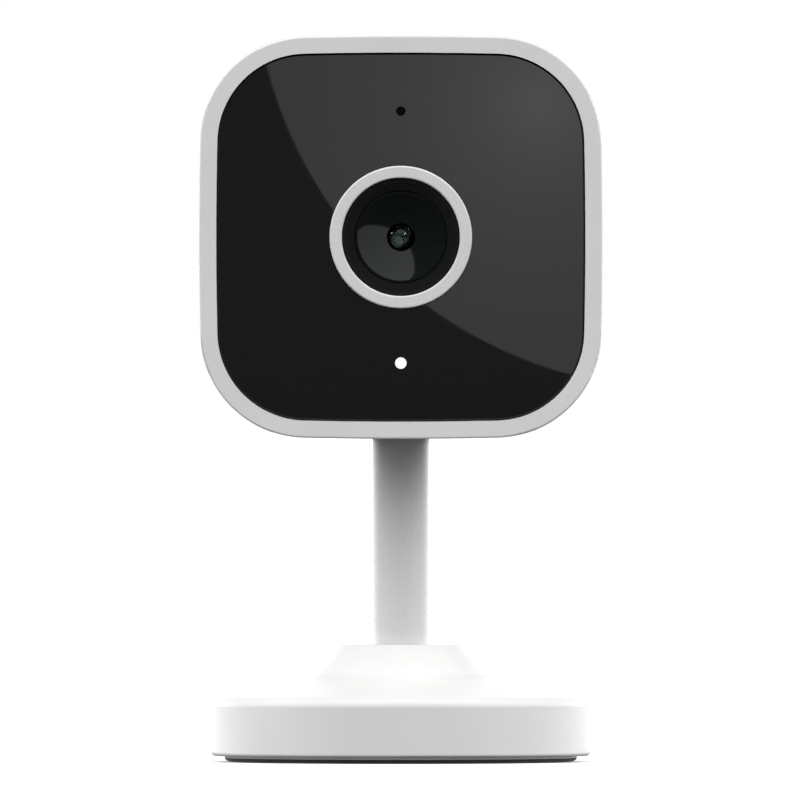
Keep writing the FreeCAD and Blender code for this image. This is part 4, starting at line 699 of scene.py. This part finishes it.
def lensGlow():
    # a small black card with a soft lit disc, for the lens alone
    material, tree = newMaterial("lensGlow")
    place = addNode(tree, "ShaderNodeTexCoord").outputs["Object"]
    across, up = lensCard["across"] * mm, lensCard["up"] * mm
    centred = addNode(tree, "ShaderNodeMapping", {"Vector": place, "Location": (-across, 0, -axisZ - up)},
                      out=0)
    flat = addNode(tree, "ShaderNodeVectorMath", {0: centred, 1: (1, 0, 1)}, out=0, operation="MULTIPLY")
    away = addNode(tree, "ShaderNodeVectorMath", {0: flat}, out="Value", operation="LENGTH")
    # brighter towards its lower right
    slope = addNode(tree, "ShaderNodeVectorMath", {0: place, 1: (1, 0, -1)}, out="Value",
                    operation="DOT_PRODUCT")
    lean = lensCard["lean"] / mm
    lit = addNode(tree, "ShaderNodeMath", {0: slope, 1: lean, 2: lensCard["glow"] + lean * axisZ}, out=0,
                  operation="MULTIPLY_ADD")
    inside = addNode(tree, "ShaderNodeMapRange", {"Value": away, "From Min": lensCard["patch"] * mm,
                     "From Max": (lensCard["patch"] - lensCard["blur"]) * mm, "To Min": 0.0, "To Max": 1.0},
                     out="Result")
    level = addNode(tree, "ShaderNodeMath", {0: inside, 1: lit}, out=0, operation="MULTIPLY")
    glow = addNode(tree, "ShaderNodeEmission", {"Color": linear("#FFFFFF"), "Strength": level})
    addNode(tree, "ShaderNodeOutputMaterial", {"Surface": glow.outputs["Emission"]})
    return material


def litPaper():
    # the paper round the foot, as bright as the light makes it; only the foot is lit by it
    material, tree = newMaterial("litPaper")
    glow = addNode(tree, "ShaderNodeEmission", {"Color": linear("#FFFFFF"), "Strength": footGlow["glow"]})
    addNode(tree, "ShaderNodeOutputMaterial", {"Surface": glow.outputs["Emission"]})
    material.cycles.emission_sampling = "NONE"
    return material


turn = [2 * math.pi * i / 128 for i in range(128)]
ringMesh = bpy.data.meshes.new("litPaper")
ringPoints = [(radius * mm * math.cos(t), radius * mm * math.sin(t), -0.00002)
              for radius in (footGlow["inner"], footGlow["outer"]) for t in turn]
ringMesh.from_pydata(ringPoints, [], [(i, (i + 1) % 128, 128 + (i + 1) % 128, 128 + i) for i in range(128)])
ringMesh.materials.append(litPaper())
paperRing = bpy.data.objects.new("litPaper", ringMesh)
bpy.context.scene.collection.objects.link(paperRing)
paperRing.visible_camera = paperRing.visible_glossy = paperRing.visible_shadow = False
footOnly = bpy.data.collections.new("footOnly")
footOnly.objects.link(footPad)
paperRing.light_linking.receiver_collection = footOnly

roundDiffuser("windowCard", card["radius"], card["across"], card["up"], card["distance"],
              glowCard("windowGlow", card["peak"], card["fall"]), [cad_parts["front_window"]])
roundDiffuser("lensCard", lensCard["radius"], 0, 0, lensCard["ahead"], lensGlow(),
              [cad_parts[name] for name in ("lens_barrel", "lens_front_element")])
for number, (across, up, radius) in enumerate(lensCard["glints"]):
    roundDiffuser("glint" + str(number), radius, across, up, lensCard["ahead"] - 0.1,
                  glowCard("glintGlow" + str(number), lensCard["glintGlow"], lensCard["glintGlow"]),
                  [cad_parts["lens_front_element"]])


def softSurroundings():
    # a tent of white cloth: bright at the sides and above, open and dim where the camera stands
    world = bpy.data.worlds.new("softSurroundings")
    world.use_nodes = True
    tree = world.node_tree
    tree.nodes.clear()
    facing = addNode(tree, "ShaderNodeTexCoord").outputs["Generated"]
    parts = addNode(tree, "ShaderNodeSeparateXYZ", {"Vector": facing})
    across, depth, height = (parts.outputs[axis] for axis in "XYZ")
    level3d = addNode(tree, "ShaderNodeVectorMath", {0: facing, 1: (1, 1, 0)}, operation="MULTIPLY")
    compass = addNode(tree, "ShaderNodeVectorMath", {0: level3d.outputs["Vector"]}, operation="NORMALIZE")
    heading = addNode(tree, "ShaderNodeSeparateXYZ", {"Vector": compass.outputs["Vector"]}).outputs["Y"]
    zones = {}
    for zone, edges in (("front", (-0.3, -0.8)), ("behind", (0.0, 0.6))):
        zones[zone] = addNode(tree, "ShaderNodeMapRange", {"Value": heading, "From Min": edges[0],
                              "From Max": edges[1], "To Min": 0.0, "To Max": 1.0}).outputs["Result"]
    rest = addNode(tree, "ShaderNodeMath", {0: 1, 1: zones["front"]}, out=0, operation="SUBTRACT")
    zones["sides"] = addNode(tree, "ShaderNodeMath", {0: rest, 1: zones["behind"]}, out=0,
                             operation="SUBTRACT")
    rise = addNode(tree, "ShaderNodeMath", {0: height, 1: 0.5, 2: 0.5}, out=0, operation="MULTIPLY_ADD")
    level = 0.0
    for zone, share in zones.items():
        below, steps = tent[zone][0], tent[zone][1:]
        levels = [(0.0, below), (0.499, below)] + [(0.5 + 0.125 * i, step) for i, step in enumerate(steps)]
        # a ramp's colours stop at 1, so it holds an eighth of each level
        stops = [(position, [bright / 8] * 3 + [1]) for position, bright in levels]
        bank = addNode(tree, "ShaderNodeValToRGB", {"Fac": rise}, out="Color", stops=stops)
        grey = addNode(tree, "ShaderNodeMath", {0: bank, 1: 8}, out=0, operation="MULTIPLY")
        level = addNode(tree, "ShaderNodeMath", {0: grey, 1: share, 2: level}, out=0,
                        operation="MULTIPLY_ADD")
    # the lit floor, as mirrors see it: brighter the steeper they look down
    paths = addNode(tree, "ShaderNodeLightPath")
    seen = paths.outputs["Is Camera Ray"]
    down = addNode(tree, "ShaderNodeMapRange", {"Value": height, "From Min": 0.0, "From Max": -0.8 / 1.5,
                   "To Min": 0.0, "To Max": 0.8}, out="Result")
    shine = addNode(tree, "ShaderNodeMath", {0: down, 1: paths.outputs["Is Glossy Ray"]}, out=0,
                    operation="MULTIPLY")
    level = addNode(tree, "ShaderNodeMath", {0: level, 1: shine}, out=0, operation="ADD")
    lighting = addNode(tree, "ShaderNodeBackground", {"Color": linear("#FFFFFF"), "Strength": level})
    backdrop = addNode(tree, "ShaderNodeBackground", {"Color": linear("#FFFFFF"), "Strength": 1.0})
    mixed = addNode(tree, "ShaderNodeMixShader", {0: seen, 1: lighting.outputs["Background"],
                    2: backdrop.outputs["Background"]})
    addNode(tree, "ShaderNodeOutputWorld", {"Surface": mixed.outputs["Shader"]})
    return world


bpy.context.scene.world = softSurroundings()

cameraData = bpy.data.cameras.new("productCamera")
cameraData.sensor_width, cameraData.lens = 36, 1240
cameraData.clip_start, cameraData.clip_end = 0.5, 60
camera = bpy.data.objects.new("productCamera", cameraData)
camera.location = (-0.00012, -4.014, 0.0527)
camera.rotation_euler = (math.radians(90), 0, 0)
bpy.context.scene.collection.objects.link(camera)
bpy.context.scene.camera = camera
bpy.context.scene.view_settings.view_transform = "Standard"
print("studio ready")
